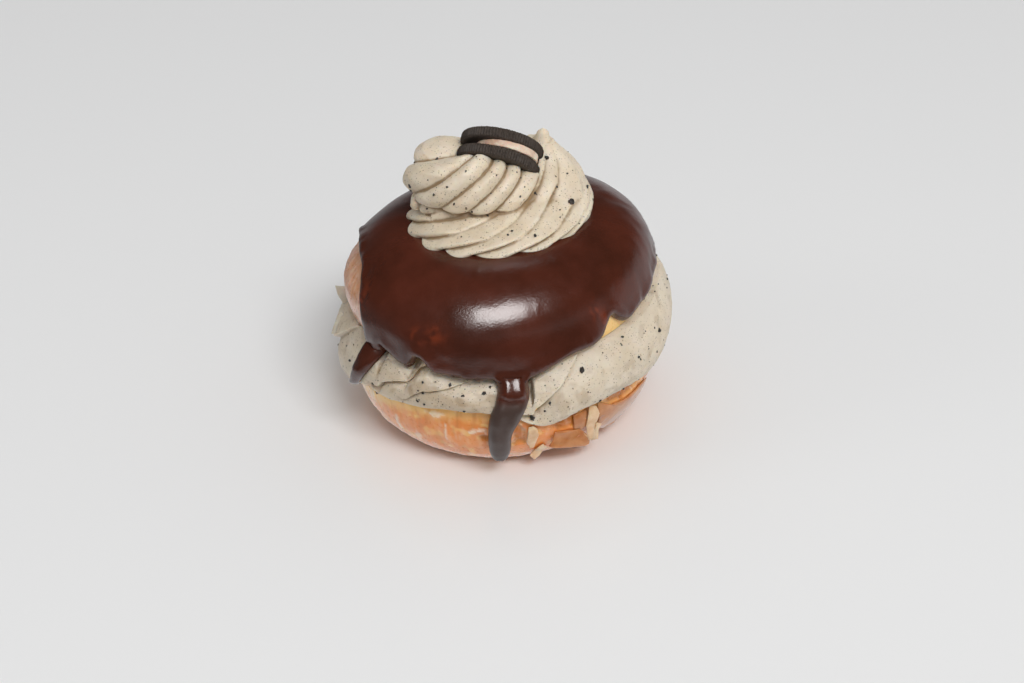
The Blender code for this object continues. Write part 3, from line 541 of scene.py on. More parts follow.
def span_at(starts, angles):
    """The span of a sorted ring of starts that an angle lies in, the next one, and how far along."""
    angles = angles % FULL_TURN
    index = np.searchsorted(starts, angles, side="right") - 1
    following = (index + 1) % len(starts)
    width = (starts[following] - starts[index]) % FULL_TURN
    return index, following, ((angles - starts[index]) % FULL_TURN) / width


def part(share, start, end):
    """How far a share is from start to end, held between 0 and 1."""
    return np.clip((share - start) / (end - start), 0, 1)


def ramp(values, low, high):
    """0 below low, 1 above high, smooth between."""
    share = np.clip((np.asarray(values) - low) / (high - low), 0, 1)
    return share * share * (3 - 2 * share)


def marks_at(points, marks, uneven):
    """1 on the marks of a table, which have soft, uneven edges, 0 elsewhere."""
    angle = np.arctan2(points[:, 1], points[:, 0])
    cover = np.zeros(len(points))
    for place, height, half_width, half_height in marks:
        across = away_from(angle, radians(place)) * LOWER_RADIUS / MM / half_width
        up = (points[:, 2] / MM - height) / half_height
        cover = np.maximum(cover, ramp(1 + 0.8 * uneven - np.hypot(across, up), 0, 0.45))
    return cover


def hollowness(obj, rounds):
    """How far each vertex lies below its smoothed surroundings."""
    edges = np.empty(2 * len(obj.data.edges), int)
    obj.data.edges.foreach_get("vertices", edges)
    ends = np.r_[edges[::2], edges[1::2]]
    others = np.r_[edges[1::2], edges[::2]]
    points = get_points(obj)
    smooth = points.copy()
    count = np.bincount(ends, minlength=len(points))
    for _ in range(rounds):
        smooth = np.c_[tuple(np.bincount(ends, smooth[others, axis], len(points)) for axis in range(3))]
        smooth /= count[:, None]
    return np.sum((smooth - points) * get_normals(obj), axis=1)


def hollows(obj, rounds, low, high):
    """1 in the hollows of a body, 0 elsewhere."""
    return ramp(hollowness(obj, rounds), low, high)


def around(angles, radius, heights, centre_x=0.0):
    return np.c_[centre_x + radius * np.cos(angles), radius * np.sin(angles), heights]


def sight(x, y):
    """Direction from the camera through a place in the photograph."""
    focal = LENS / SENSOR * IMAGE[0]
    turn = Euler((pi / 2 - CAMERA_ELEVATION, 0, 0)).to_matrix()
    return turn @ Vector(((x - IMAGE[0] / 2) / focal, (IMAGE[1] / 2 - y) / focal, -1)).normalized()


def seen_at(x, y, back):
    """The point that the photograph shows at an image place, at a distance towards the back."""
    direction = sight(x, y)
    return np.array(CAMERA_PLACE + direction * ((back - CAMERA_PLACE.y) / direction.y))


def skin(obj):
    return BVHTree.FromObject(obj, bpy.context.evaluated_depsgraph_get())


# The halves' surfaces


def upper_profile():
    """Radius and height of the upper half's skin, from its middle over the crest and down its side."""
    inner = np.linspace(0, 1, 40)[:-1]
    turn = np.linspace(0, pi / 2, 90)[:-1]
    under = np.linspace(0, 0.44, 24)
    reach = UPPER_RADIUS - CREST_RADIUS
    radius = np.r_[inner * CREST_RADIUS, CREST_RADIUS + reach * np.sin(turn) ** 0.94,
                   CREST_RADIUS + reach * np.cos(under)]
    height = np.r_[CREST_Z - DIMPLE_DEPTH * (1 - inner**2) ** 2,
                   UPPER_WIDEST_Z + (CREST_Z - UPPER_WIDEST_Z) * np.cos(turn),
                   UPPER_WIDEST_Z - UNDERSIDE_DEPTH * np.sin(under)]
    return np.c_[radius, height]


def tilted(points):
    """Points of the upper half, its top leaning up to the right."""
    points = np.array(points, float)
    share = ramp(points[:, 2], TILT_FROM_Z, TILT_FROM_Z + TILT_RAMP)
    points[:, 2] += UPPER_TILT * (points[:, 0] - UPPER_CENTRE_X) * share
    return points


def bun_radius(height):
    profile = upper_profile()
    side = profile[np.argmax(profile[:, 1]):]
    return np.interp(height, side[::-1, 1], side[::-1, 0])


def hang_radius(height):
    return np.interp(height, HANG_Z[::-1], HANG_RADIUS[::-1])


def under_drips(angles, radius, height, clearance):
    """Takes a surface in behind the two drips, so that they lie clear of it."""
    limit = hang_radius(height) + UPPER_CENTRE_X * np.cos(angles) - clearance
    for middle, half_width in DRIPS:
        away = np.abs(away_from(angles, middle))
        near = 1 - ramp(away, 1.1 * half_width, 2.8 * half_width)
        radius = radius + near * np.minimum(limit - radius, 0)
    return radius


def dough_swell(angles, height):
    return 0.28 * MM * (np.sin(3 * angles + 1 + 60 * height) + 0.6 * np.sin(7 * angles + 2 - 90 * height))


def lower_radius(angles, height):
    depth = np.clip((LOWER_WIDEST_Z - height) / LOWER_WIDEST_Z, 0, 1)
    foot = ring_value(FOOT_RADIUS, angles)
    radius = foot + (LOWER_RADIUS - foot) * np.sqrt(1 - depth**2)
    swell = dough_swell(angles, height) * np.clip(height / (4 * MM), 0, 1)
    return under_drips(angles, radius + swell, height, 0.7 * MM)


def lower_place(angle, share):
    """Resting face, side, rounded corner and cut face of the lower half."""
    rim = ring_value(LOWER_RIM_Z, angle)
    side = part(share, *LOWER_SIDE)
    corner = part(side, CUT_CORNER_FROM, 1) * pi / 2
    height = (1 - np.cos(part(side, 0, CUT_CORNER_FROM) * pi / 2)) ** 1.1 * (rim - CUT_CORNER)
    radius = lower_radius(angle, height) - CUT_CORNER * (1 - np.cos(corner))
    height = height + CUT_CORNER * np.sin(corner)
    radius = radius * part(share, 0, LOWER_SIDE[0])
    inward = part(share, LOWER_SIDE[1], 1)
    return around(angle, radius * (1 - inward), height + inward * (LOWER_CUT_MIDDLE_Z - height))


def bare_radius(angles, height):
    """Radius of the upper half's side, a little fuller where no icing covers it."""
    middle, half_width, level, half_height, swell = BARE_FLANK
    away = np.abs(away_from(angles, middle)) / half_width
    window = np.clip(1 - away**2, 0, 1) * np.exp(-(((height - level) / half_height) ** 2))
    return bun_radius(height) + swell * window


def upper_place(angle, share):
    """Cut face, side and top of the upper half."""
    profile = upper_profile()
    rim = ring_value(UPPER_RIM_Z, angle)
    side = part(share, *UPPER_SIDE)
    shoulder = 58 * MM
    height = rim + side * (shoulder - rim)
    radius = bare_radius(angle, height) - BUN_INSET
    over = part(share, UPPER_SIDE[1], 1)
    top = profile[:np.argmin(np.abs(profile[:, 1] - shoulder) + (profile[:, 0] < CREST_RADIUS))]
    place = (1 - over) * (len(top) - 1)
    top_radius = np.interp(place, np.arange(len(top)), top[:, 0]) - 0.6 * BUN_INSET
    top_height = np.interp(place, np.arange(len(top)), top[:, 1]) - 0.8 * BUN_INSET
    radius = np.where(over > 0, np.maximum(top_radius, 0) * (over < 1), radius)
    height = np.where(over > 0, top_height, height)
    cut = 1 - part(share, 0, UPPER_SIDE[0])
    radius = radius * (1 - cut)
    height = height + cut * (UPPER_CUT_MIDDLE_Z - rim)
    return tilted(around(angle, radius, height, UPPER_CENTRE_X))


def icing_edge_height(angles):
    """Height of the icing's edge, with the drips left out."""
    kept = [(a, z) for a, z in ICING_EDGE if not (-160 < a < -138.6 or -92.5 < a < -80.1 or z < 30)]
    edge = np.array(sorted(((a % 360), z) for a, z in kept))
    return np.interp(np.degrees(angles) % 360, edge[:, 0], edge[:, 1], period=360) * MM


def fold_depth(angles):
    """How far the filling lies in: each lobe swells slowly from its fold and drops sharply into
    the next one."""
    starts = np.array(sorted((radians(angle) % FULL_TURN, depth * MM) for angle, depth in FOLDS))
    index, following, share = span_at(starts[:, 0], angles)
    swelling = starts[index, 1] * np.clip(1 - share / FOLD_SWELL, 0, 1) ** 2
    return swelling + starts[following, 1] * ramp(share, 1 - FOLD_EDGE, 1)


def filling_place(angle, share):
    """Lower face, lobed side and upper face of the filling."""
    side = part(share, *FILLING_SIDE)
    rise = 0.5 - 0.5 * np.cos(0.12 + side * (pi - 0.22))
    turned = angle + LOBE_LEAN * rise * (share > FILLING_SIDE[0])
    low = ring_value(LIP_LOW_Z, turned)
    rim = ring_value(UPPER_RIM_Z, turned)
    high = np.minimum(rim, icing_edge_height(turned)) - 0.7 * MM
    height = low + rise * (high - low)
    arch = np.sin(pi * np.clip(rise, 0, 1))
    lip = LIP_LOW_RADIUS + rise * (ring_value(LIP_HIGH_RADIUS, turned) - LIP_LOW_RADIUS)
    radius = under_drips(turned, lip + ring_value(BULGE, turned) * arch**0.7, height, 0.5 * MM)
    radius -= fold_depth(angle) * arch**0.3
    inner = part(share, 0, FILLING_SIDE[0])
    floor_middle = LOWER_CUT_MIDDLE_Z + FILLING_GAP
    shelf = np.maximum(ring_value(LOWER_RIM_Z, turned), low) + FILLING_GAP
    below = share < FILLING_SIDE[0]
    radius = np.where(below, inner * (LOWER_RADIUS + 0.9 * MM), radius)
    height = np.where(below, floor_middle + inner**4 * (shelf - floor_middle), height)
    outer = 1 - part(share, FILLING_SIDE[1], 1)
    roof_middle = UPPER_CUT_MIDDLE_Z - FILLING_GAP
    above = share > FILLING_SIDE[1]
    radius = np.where(above, outer * FILLING_INNER_RADIUS, radius)
    height = np.where(above, roof_middle + outer * (rim - FILLING_GAP - roof_middle), height)
    return around(turned, radius, height, np.where(above, UPPER_CENTRE_X, 0))


# Icing surface


def icing_base():
    """The icing's inner surface from the middle outwards: distance along its profile, radius,
    height, and flat radius, which spreads it out in a plane with its angles kept."""
    profile = upper_profile()
    points = np.vstack([profile[profile[:, 1] > HANG_Z[0] + 1.5 * MM], np.c_[HANG_RADIUS, HANG_Z]])
    corners = np.r_[0, np.cumsum(np.hypot(*np.diff(points, axis=0).T))]
    along = np.linspace(0, corners[-1], 800)
    radius, height = (np.interp(along, corners, column) for column in points.T)
    growth = np.r_[0, np.cumsum(np.diff(along) / (0.5 * (radius[1:] + radius[:-1])))]
    flat = np.exp(growth - growth[-1])
    flat[0] = 0
    return along, radius, height, flat


def icing_surface(flat, base, lift):
    """Points on the icing's inner surface, lifted along its normal, from flat ones."""
    along, radius, height, spread = base
    distance = np.interp(np.hypot(flat[:, 0], flat[:, 1]), spread, along)
    angle = np.arctan2(flat[:, 1], flat[:, 0])
    places = (distance + step for step in (-NORMAL_STEP, 0, NORMAL_STEP))
    before, here, after = (
        np.c_[np.interp(place, along, radius), np.interp(place, along, height)] for place in places)
    slope = (after - before) / np.linalg.norm(after - before, axis=1)[:, None]
    reach = here[:, 0] - lift * slope[:, 1]
    level = here[:, 1] + lift * slope[:, 0]
    return np.c_[UPPER_CENTRE_X + reach * np.cos(angle), reach * np.sin(angle), level]


def icing_outline(base):
    """The icing's outline in the flat plane, anticlockwise."""
    along, radius, height, spread = base
    crest = np.argmax(height)
    edge = np.array(ICING_EDGE)
    flat = np.interp(edge[:, 1] * MM, height[crest:][::-1], spread[crest:][::-1])
    angle = np.radians(edge[:, 0])
    return smooth_loop(np.c_[flat * np.cos(angle), flat * np.sin(angle)], OUTLINE_STEPS)


def inside_outline(points, outline):
    """Which points lie inside a closed outline."""
    ax, ay = outline[:, 0], outline[:, 1]
    bx, by = np.roll(ax, -1), np.roll(ay, -1)
    slope = (bx - ax) / np.where(by == ay, 1, by - ay)
    inside = np.zeros(len(points), bool)
    for k, (x, y) in enumerate(points):
        inside[k] = np.sum(((ay > y) != (by > y)) & (x < ax + (y - ay) * slope)) % 2
    return inside


def icing_points(outline, base, border, spacing):
    """Flat points of the icing with their distance from its outline: the outline itself,
    rows that follow it inwards, and rings over the top."""
    along, radius, height, spread = base
    tree = kdtree.KDTree(len(outline))
    for k, point in enumerate(icing_surface(outline, base, 0)):
        tree.insert(point, k)
    tree.balance()
    forward = np.roll(outline, -1, axis=0) - np.roll(outline, 1, axis=0)
    inward = np.c_[-forward[:, 1], forward[:, 0]] / np.linalg.norm(forward, axis=1)[:, None]
    flat_radius = np.hypot(*outline.T)
    inward *= (flat_radius / np.interp(flat_radius, spread, radius))[:, None]
    offsets = np.array([0.05, 0.16, 0.34, 0.6, 0.95]) * border
    candidates = [(outline + inward * offset, 0.75 * offset) for offset in offsets]
    rings = []
    for distance in np.arange(0.5 * spacing, along[-1], spacing):
        count = max(6, int(FULL_TURN * np.interp(distance, along, radius) / spacing))
        angle = (np.arange(count) + 0.5 * (len(rings) % 2)) / count * FULL_TURN
        rings.append(np.interp(distance, along, spread) * np.c_[np.cos(angle), np.sin(angle)])
    candidates.append((np.vstack(rings), offsets[-1] + 0.42 * spacing))
    kept, away = [outline], [np.zeros(len(outline))]
    for flat, clear in candidates:
        distance = np.array([tree.find(p)[2] for p in icing_surface(flat, base, 0)])
        good = inside_outline(flat, outline) & (distance > clear)
        kept.append(flat[good])
        away.append(distance[good])
    return np.vstack(kept), np.concatenate(away)


def icing_lift(solid, away, settings):
    """Thickness of the icing at points of its inner surface."""
    border = np.clip(away / settings.border, 0, 1)
    lift = settings.thickness * np.sqrt(1 - (1 - border) ** 2)
    low = np.clip((UPPER_WIDEST_Z + 4 * MM - solid[:, 2]) / (8 * MM), 0, 1)
    lift *= 1 + 0.25 * low * np.exp(-(((away - settings.border) / (2.5 * MM)) ** 2))
    angle = np.arctan2(solid[:, 1], solid[:, 0] - UPPER_CENTRE_X)
    lift += border * settings.swell * drip_head(angle, solid[:, 2])
    flanks = ramp(np.abs(np.cos(angle + radians(12))), 0.72, 0.9)
    bead = np.exp(-(((away - 1.8 * MM) / (1.1 * MM)) ** 2)) * (0.55 + 0.6 * noise_at(solid, 5 * MM, 13, 2))
    lift += flanks * settings.bead * bead
    calm = ramp(away, 0, 3 * settings.border)
    lift += border * (1 - calm) * settings.wave * noise_at(solid * (1, 1, 0.6), 4.5 * MM, 6, 2)
    lift += calm * bumps(solid, ICING_BUMPS)
    right = 1 - ramp(np.abs(angle + radians(8)), radians(25), radians(50))
    lift += calm * right * 0.14 * MM * noise_at(solid, 6 * MM, 9, 2)
    for place, height in ICING_BUBBLES:
        lift += BUBBLE_HEIGHT * spot_at(angle, solid[:, 2], place, height, BUBBLE_SIZE)
    return lift


def drip_head(angle, height):
    """1 on the rounded head of the long drip, 0 elsewhere; it ends sharply at its foot."""
    middle, foot, shoulder, end = DRIP_HEAD
    across = np.abs(angle - radians(middle)) * HANG_RADIUS[0]
    foot = foot * MM + 0.06 * across**2 / MM
    return (ramp(height, foot - 0.5 * MM, foot + 0.7 * MM) * (1 - ramp(height, shoulder * MM, end * MM))
            * (1 - ramp(across, *DRIP_HEAD_WIDTH)))


def spot_at(angle, height, place, middle, size):
    """A round spot, 1 at its middle, on the icing's side. Sizes in mm."""
    across = away_from(angle, radians(place)) * HANG_RADIUS[0] / MM
    return np.exp(-(across**2 + (height / MM - middle) ** 2) / size**2)


# Swirl surface


def mound_centre(height):
    share = np.clip((height - SWIRL_FOOT.z) / (SWIRL_PEAK.z - SWIRL_FOOT.z), 0, 1)
    return np.outer(1 - share, SWIRL_FOOT.xy) + np.outer(share, SWIRL_PEAK.xy)


def mound_points(angle, height, inset):
    """Points on the swirl's mound, taken in by an inset."""
    dent_angle, dent_share, dent_height, dent_reach = FRONT_DENT
    dent = dent_share * np.clip((height - dent_height) / dent_reach, 0, 1)
    radius = np.interp(height, MOUND_Z, MOUND_RADIUS)
    radius = radius * (1 - dent * np.clip(np.cos(angle - dent_angle), 0, 1) ** 0.7)
    radius = np.maximum(radius - inset, 0.3 * MM)
    centre = mound_centre(height)
    return np.c_[centre[:, 0] + radius * np.cos(angle), centre[:, 1] + radius * np.sin(angle), height]


def tube(centres, radii, outwards, sides=24):
    """A tube along a line of centres, with pointed ends, its columns starting from a side."""
    centres = np.asarray(centres)
    count = len(centres)
    turn = np.linspace(0, FULL_TURN, sides, endpoint=False)
    points = []
    for k, centre in enumerate(centres):
        tangent = Vector(centres[min(k + 1, count - 1)] - centres[max(k - 1, 0)]).normalized()
        side = tangent.cross(Vector(outwards[k])).normalized()
        across = side.cross(tangent)
        points.extend(centre + radii[k] * (np.outer(np.cos(turn), side) + np.outer(np.sin(turn), across)))
    for end, before in ((0, 1), (count - 1, count - 2)):
        outward = Vector(centres[end] - centres[before]).normalized()
        points.append(centres[end] + 0.7 * radii[end] * np.array(outward))
    faces = []
    for i in range(sides):
        j = (i + 1) % sides
        for k in range(0, (count - 1) * sides, sides):
            faces.append((k + i, k + j, k + sides + j, k + sides + i))
        last = (count - 1) * sides
        faces.append((count * sides, j, i))
        faces.append((count * sides + 1, last + i, last + j))
    return code_body("ridge", points, faces)


def lobes(creases, angle):
    """Height of rounded ridges between creases: 0 at a crease, 1 on a crest."""
    share = span_at(np.sort(creases % FULL_TURN), angle)[2]
    return np.sin(pi * np.clip(share, 0, 1) ** RIDGE_SKEW) ** RIDGE_ROUNDING


def swirl_mound():
    """The swirl's mound with the ridges that wind up it; at one side they are smeared smooth."""
    middle, half_width = SMOOTH_SIDE

    def place(angle, share):
        height = MOUND_Z[0] - 1 * MM + share * (MOUND_Z[-1] - MOUND_Z[0] - 1 * MM)
        away = np.abs(away_from(angle, middle))
        smeared = 1 - ramp(away, 0.6 * half_width, half_width)
        depth = np.interp(height, RIDGE_DEPTH_Z, RIDGE_DEPTH) * (1 - 0.7 * smeared)
        turn = np.interp(height, RIDGE_TURN_Z, RIDGE_TURN)
        inset = depth * (1 - lobes(RIDGE_CREASES, angle - turn))
        points = mound_points(angle, height, inset + 60 * MM * ((share == 0) | (share == 1)))
        points[:, 2] += UPPER_TILT * points[:, 0] * np.clip(1 - (height - 66 * MM) / (8 * MM), 0, 1)
        return points
    return sphere_body("mound", *MOUND_GRID, place)


def swirl_tier():
    """The fat upper tier that the biscuit leans in, with ridges that run up it to the right."""
    def place(angle, share):
        rise = np.clip((share - 0.08) / 0.84, 0, 1)
        height = TIER_BOTTOM_Z + rise * (ring_value(TIER_TOP_Z, angle) - TIER_BOTTOM_Z)
        radius = ring_value(TIER_RADIUS, angle) * np.interp(rise, TIER_RISE, TIER_REACH)
        groove = TIER_DEPTH * (1 - lobes(TIER_CREASES, angle - rise * TIER_TURN))
        radius = (radius - groove) * np.clip(np.minimum(share, 1 - share) / 0.08, 0, 1)
        points = around(angle, radius, height - 0.85 * groove * rise)
        points[:, :2] += TIER_CENTRE
        return points
    return sphere_body("tier", *TIER_GRID, place)


def loose_ridges():
    progress = np.linspace(0, 1, 36)
    for start, end, thick in LOOSE_RIDGES:
        start, end = (seen_at(x, y, back * MM) for x, y, back in (start, end))
        centres = np.outer(1 - progress, start) + np.outer(progress, end)
        centres[:, 2] += 1.2 * MM * np.sin(pi * progress)
        radius = thick * MM * np.interp(progress, (0, 0.25, 0.6, 1), (0.7, 1, 0.95, 0.6))
        yield tube(centres, radius, np.tile((0.0, -0.4, 1.0), (36, 1)))


def peak_tip():
    progress = np.linspace(0, 1, 16)
    start, end = SWIRL_PEAK - Vector((0.5, 0.5, 9)) * MM, SWIRL_PEAK
    centres = np.outer(1 - progress, start) + np.outer(progress, end)
    return tube(centres, (4.8 - 3.1 * progress**0.9) * MM, np.tile((0.0, 1.0, 0.0), (16, 1)))


def icing_lid(thickness):
    """A body that ends at the icing's top, to cut the swirl's foot by."""
    profile = upper_profile()
    profile = profile[profile[:, 0] < 40 * MM]

    def place(angle, share):
        inward = np.clip((share - 0.2) / 0.8, 0, 1)
        spot = (1 - inward) * (len(profile) - 1)
        radius = np.interp(spot, np.arange(len(profile)), profile[:, 0])
        height = np.interp(spot, np.arange(len(profile)), profile[:, 1]) + thickness - 0.2 * MM
        below = share < 0.2
        radius = np.where(below, share / 0.2 * 40 * MM, radius)
        height = np.where(below, 50 * MM, height)
        return tilted(around(angle, radius, height, UPPER_CENTRE_X))
    return sphere_body("lid", *LID_GRID, place)


# Biscuit surface


def on_biscuit(points):
    """Points measured in the biscuit's own frame, put in place."""
    turn = np.array(BISCUIT_AXIS.to_track_quat("Z", "Y").to_matrix())
    return np.asarray(points) @ turn.T + np.array(BISCUIT_CENTRE)


def disc_place(angle, share, radius, thickness, ribs=0, rib_depth=0.0, corner=0.0):
    """A disc with a rounded rim, ribbed or plain, centred on the origin."""
    face = 0.3
    rim = np.clip((share - face) / (1 - 2 * face), 0, 1)
    inner = np.minimum(np.clip(share / face, 0, 1), np.clip((1 - share) / face, 0, 1))
    turn = (rim - 0.5) * 2
    round_off = np.clip((np.abs(turn) - 0.3) / 0.7, 0, 1)
    reach = radius - corner * (1 - np.sqrt(1 - round_off**2))
    if ribs:
        wave = 0.5 - 0.5 * np.cos(ribs * angle)
        reach = reach - rib_depth * wave**0.6 * (1 - 0.6 * round_off)
    height = 0.5 * thickness * np.sign(turn) * (1 - (1 - np.abs(turn)) ** 1.15)
    return np.c_[reach * inner * np.cos(angle), reach * inner * np.sin(angle), height]


def wafer_place(side, points, settings):
    """Puts a wafer above or below the cream; the lower one gapes away from it at the front."""
    points = points + np.array((0, 0, side * 0.5 * (BISCUIT_FILLING_THICKNESS + settings.thickness)))
    if side > 0:
        return points
    hinge = np.array((cos(BISCUIT_GAPE_SIDE), sin(BISCUIT_GAPE_SIDE), 0)) * -0.65 * settings.radius
    turn = Matrix.Rotation(BISCUIT_GAPE, 3, Vector((-sin(BISCUIT_GAPE_SIDE), cos(BISCUIT_GAPE_SIDE), 0)))
    return (points - hinge) @ np.array(turn).T + hinge


def wafer_body(name, side, settings, grid, ribs=0, spare=(0, 0)):
    """A wafer in place, or the seat of one, with room to spare round its rim and over its faces."""
    def place(angle, share):
        disc = disc_place(angle, share, settings.radius + spare[0], settings.thickness + spare[1],
                          ribs, RIB_DEPTH, WAFER_CORNER)
        return on_biscuit(wafer_place(side, disc, settings))
    return sphere_body(name, *grid, place)


def biscuit_cream_place(angle, share):
    """The biscuit's cream: a disc off centre, thicker where the wafers gape."""
    side = np.array((cos(BISCUIT_GAPE_SIDE), sin(BISCUIT_GAPE_SIDE), 0))
    points = disc_place(angle, share, 9.6 * MM, BISCUIT_FILLING_THICKNESS - 0.1 * MM, corner=0.4 * MM)
    points += BISCUIT_FILLING_SHIFT * side
    points[:, 2] -= (points[:, 2] < 0) * BISCUIT_GAPE * (points @ side + 6 * MM)
    return on_biscuit(points)


# Materials


def feed(tree, socket, value):
    """Gives a socket a value, or links another node's output to it."""
    if isinstance(value, bpy.types.NodeSocket):
        tree.links.new(value, socket)
    else:
        socket.default_value = value


def node(tree, kind, sockets=None, **settings):
    """Adds a shader node. A socket takes a value or another node's output."""
    made = tree.nodes.new("ShaderNode" + kind)
    for name, value in settings.items():
        setattr(made, name, value)
    for name, value in (sockets or {}).items():
        feed(tree, made.inputs[name], value)
    return made


def rgba(values):
    return (*values, 1.0)


def blend_colour(tree, factor, a, b):
    mix = node(tree, "Mix", data_type="RGBA", blend_type="MIX")
    for index, value in ((0, factor), (6, a), (7, b)):
        feed(tree, mix.inputs[index], value)
    return mix.outputs[2]


def maths(tree, operation, a, b, clamp=False):
    return node(tree, "Math", {0: a, 1: b}, operation=operation, use_clamp=clamp).outputs[0]


def group(name, inputs, outputs):
    """An empty node group with named inputs and outputs: its tree and its two end nodes."""
    tree = bpy.data.node_groups.new(name, "ShaderNodeTree")
    for label, kind, default in inputs:
        socket = tree.interface.new_socket(label, in_out="INPUT", socket_type="NodeSocket" + kind)
        if default is not None:
            socket.default_value = default
    for label, kind in outputs:
        tree.interface.new_socket(label, in_out="OUTPUT", socket_type="NodeSocket" + kind)
    return tree, tree.nodes.new("NodeGroupInput"), tree.nodes.new("NodeGroupOutput")


def use(tree, name, sockets):
    made = tree.nodes.new("ShaderNodeGroup")
    made.node_tree = bpy.data.node_groups[name]
    for label, value in sockets.items():
        feed(tree, made.inputs[label], value)
    return made.outputs


def mottled(tree, place, scale, contrast, first, second):
    """Uneven mix of two colours, ready for a shader."""
    return use(tree, "Mottle", {"Vector": place, "Scale": scale, "Contrast": contrast,
                                "Colour A": rgba(first), "Colour B": rgba(second)})["Colour"]


def make_specks_group():
    """Specks of uneven size: one in each cell that a share lets through."""
    tree, start, end = group("Specks", (("Vector", "Vector", None), ("Scale", "Float", 800.0),
                                        ("Share", "Float", 0.4), ("Size", "Float", 0.3)),
                             (("Mask", "Float"),))
    wobble = node(tree, "TexNoise", {"Vector": start.outputs["Vector"], "Scale": 2200.0, "Detail": 2.0})
    shift = node(tree, "VectorMath", {0: wobble.outputs["Color"], 1: (0.5, 0.5, 0.5)}, operation="SUBTRACT")
    small = node(tree, "VectorMath", {0: shift.outputs[0], "Scale": 0.0005}, operation="SCALE")
    place = node(tree, "VectorMath", {0: start.outputs["Vector"], 1: small.outputs[0]}, operation="ADD")
    cells = node(tree, "TexVoronoi", {"Vector": place.outputs[0], "Scale": start.outputs["Scale"]})
    chance = node(tree, "SeparateColor", {0: cells.outputs["Color"]})
    let = maths(tree, "LESS_THAN", chance.outputs[0], start.outputs["Share"])
    uneven = node(tree, "Math", {0: chance.outputs[1], 1: 0.75, 2: 0.5}, operation="MULTIPLY_ADD")
    reach = maths(tree, "MULTIPLY", uneven.outputs[0], start.outputs["Size"])
    near = maths(tree, "DIVIDE", maths(tree, "SUBTRACT", reach, cells.outputs["Distance"]), 0.07, True)
    tree.links.new(maths(tree, "MULTIPLY", let, near), end.inputs["Mask"])


def make_mottle_group():
    """Uneven mix of two colours."""
    tree, start, end = group("Mottle", (("Vector", "Vector", None), ("Scale", "Float", 100.0),
                                        ("Contrast", "Float", 3.0), ("Colour A", "Color", None),
                                        ("Colour B", "Color", None)),
                             (("Colour", "Color"), ("Mask", "Float")))
    clouds = node(tree, "TexNoise", {"Vector": start.outputs["Vector"], "Scale": start.outputs["Scale"],
                                     "Detail": 5.0, "Roughness": 0.55})
    centred = maths(tree, "SUBTRACT", clouds.outputs["Fac"], 0.5)
    spread = maths(tree, "MULTIPLY", centred, start.outputs["Contrast"])
    mask = maths(tree, "ADD", spread, 0.5, True)
    tree.links.new(blend_colour(tree, mask, start.outputs["Colour A"], start.outputs["Colour B"]),
                   end.inputs["Colour"])
    tree.links.new(mask, end.inputs["Mask"])


def make_grain_group():
    """Height of a fine grain made of two sizes of lump."""
    tree, start, end = group("Grain", (("Vector", "Vector", None), ("Scale", "Float", 900.0),
                                       ("Coarse", "Float", 0.5)), (("Height", "Float"),))
    fine = node(tree, "TexNoise", {"Vector": start.outputs["Vector"], "Scale": start.outputs["Scale"],
                                   "Detail": 3.0})
    lumps = node(tree, "TexNoise", {"Vector": start.outputs["Vector"], "Detail": 3.0,
                                    "Scale": maths(tree, "MULTIPLY", start.outputs["Scale"], 0.22)})
    mixed = node(tree, "Mix", {0: start.outputs["Coarse"], 2: fine.outputs["Fac"], 3: lumps.outputs["Fac"]})
    tree.links.new(mixed.outputs[0], end.inputs["Height"])


def new_material(name, roughness, **uniform):
    """A material with its tree, its shader and its object coordinates."""
    material = bpy.data.materials.new(name)
    material.use_nodes = True
    tree = material.node_tree
    shader = tree.nodes["Principled BSDF"]
    shader.inputs["Roughness"].default_value = roughness
    for label, value in uniform.items():
        shader.inputs[label.replace("_", " ")].default_value = value
    place = node(tree, "TexCoord").outputs["Object"]
    return material, tree, shader, place


def roughen(tree, shader, place, scale, coarse, distance, strength):
    """Gives a material a fine grain."""
    grain = use(tree, "Grain", {"Vector": place, "Scale": scale, "Coarse": coarse})["Height"]
    made = node(tree, "Bump", {"Height": grain, "Distance": distance, "Strength": strength})
    tree.links.new(made.outputs[0], shader.inputs["Normal"])


def painted(tree, name):
    return node(tree, "Attribute", attribute_name=name, attribute_type="GEOMETRY").outputs["Fac"]


def shaded(colour_values, *shares):
    return [share * value for share, value in zip(shares, colour_values)]


def spread_over(tree, value, low, high):
    """Maps 0 to 1 onto low to high."""
    return node(tree, "MapRange", {"Value": value, "To Min": low, "To Max": high}).outputs[0]


def cream_material(name, base, settings):
    material, tree, shader, place = new_material(
        name, 0.5, Subsurface_Weight=0.4, Subsurface_Radius=(2.4, 1.6, 0.9), Subsurface_Scale=0.001,
        Specular_IOR_Level=0.42)
    pale = [min(1.0, 1.05 * c) for c in base]
    surface = mottled(tree, place, 150.0, 2.4, shaded(base, 0.90, 0.86, 0.80), pale)
    # Painted shade: the cream is darkened and browned where its folds and creases are painted
    surface = blend_colour(tree, painted(tree, "hollow"), surface, rgba(settings.hollow))
    dust = shaded(base, 0.46, 0.41, 0.36)
    for rows, shade in ((DUST_SPECKS, dust), (DARK_SPECKS, settings.specks)):
        for scale, share, size in rows:
            specks = use(tree, "Specks", {"Vector": place, "Scale": scale, "Share": share, "Size": size})
            surface = blend_colour(tree, specks["Mask"], surface, rgba(shade))
    tree.links.new(surface, shader.inputs["Base Color"])
    roughen(tree, shader, place, 1500.0, 0.6, 0.0005, 0.5)
    return material


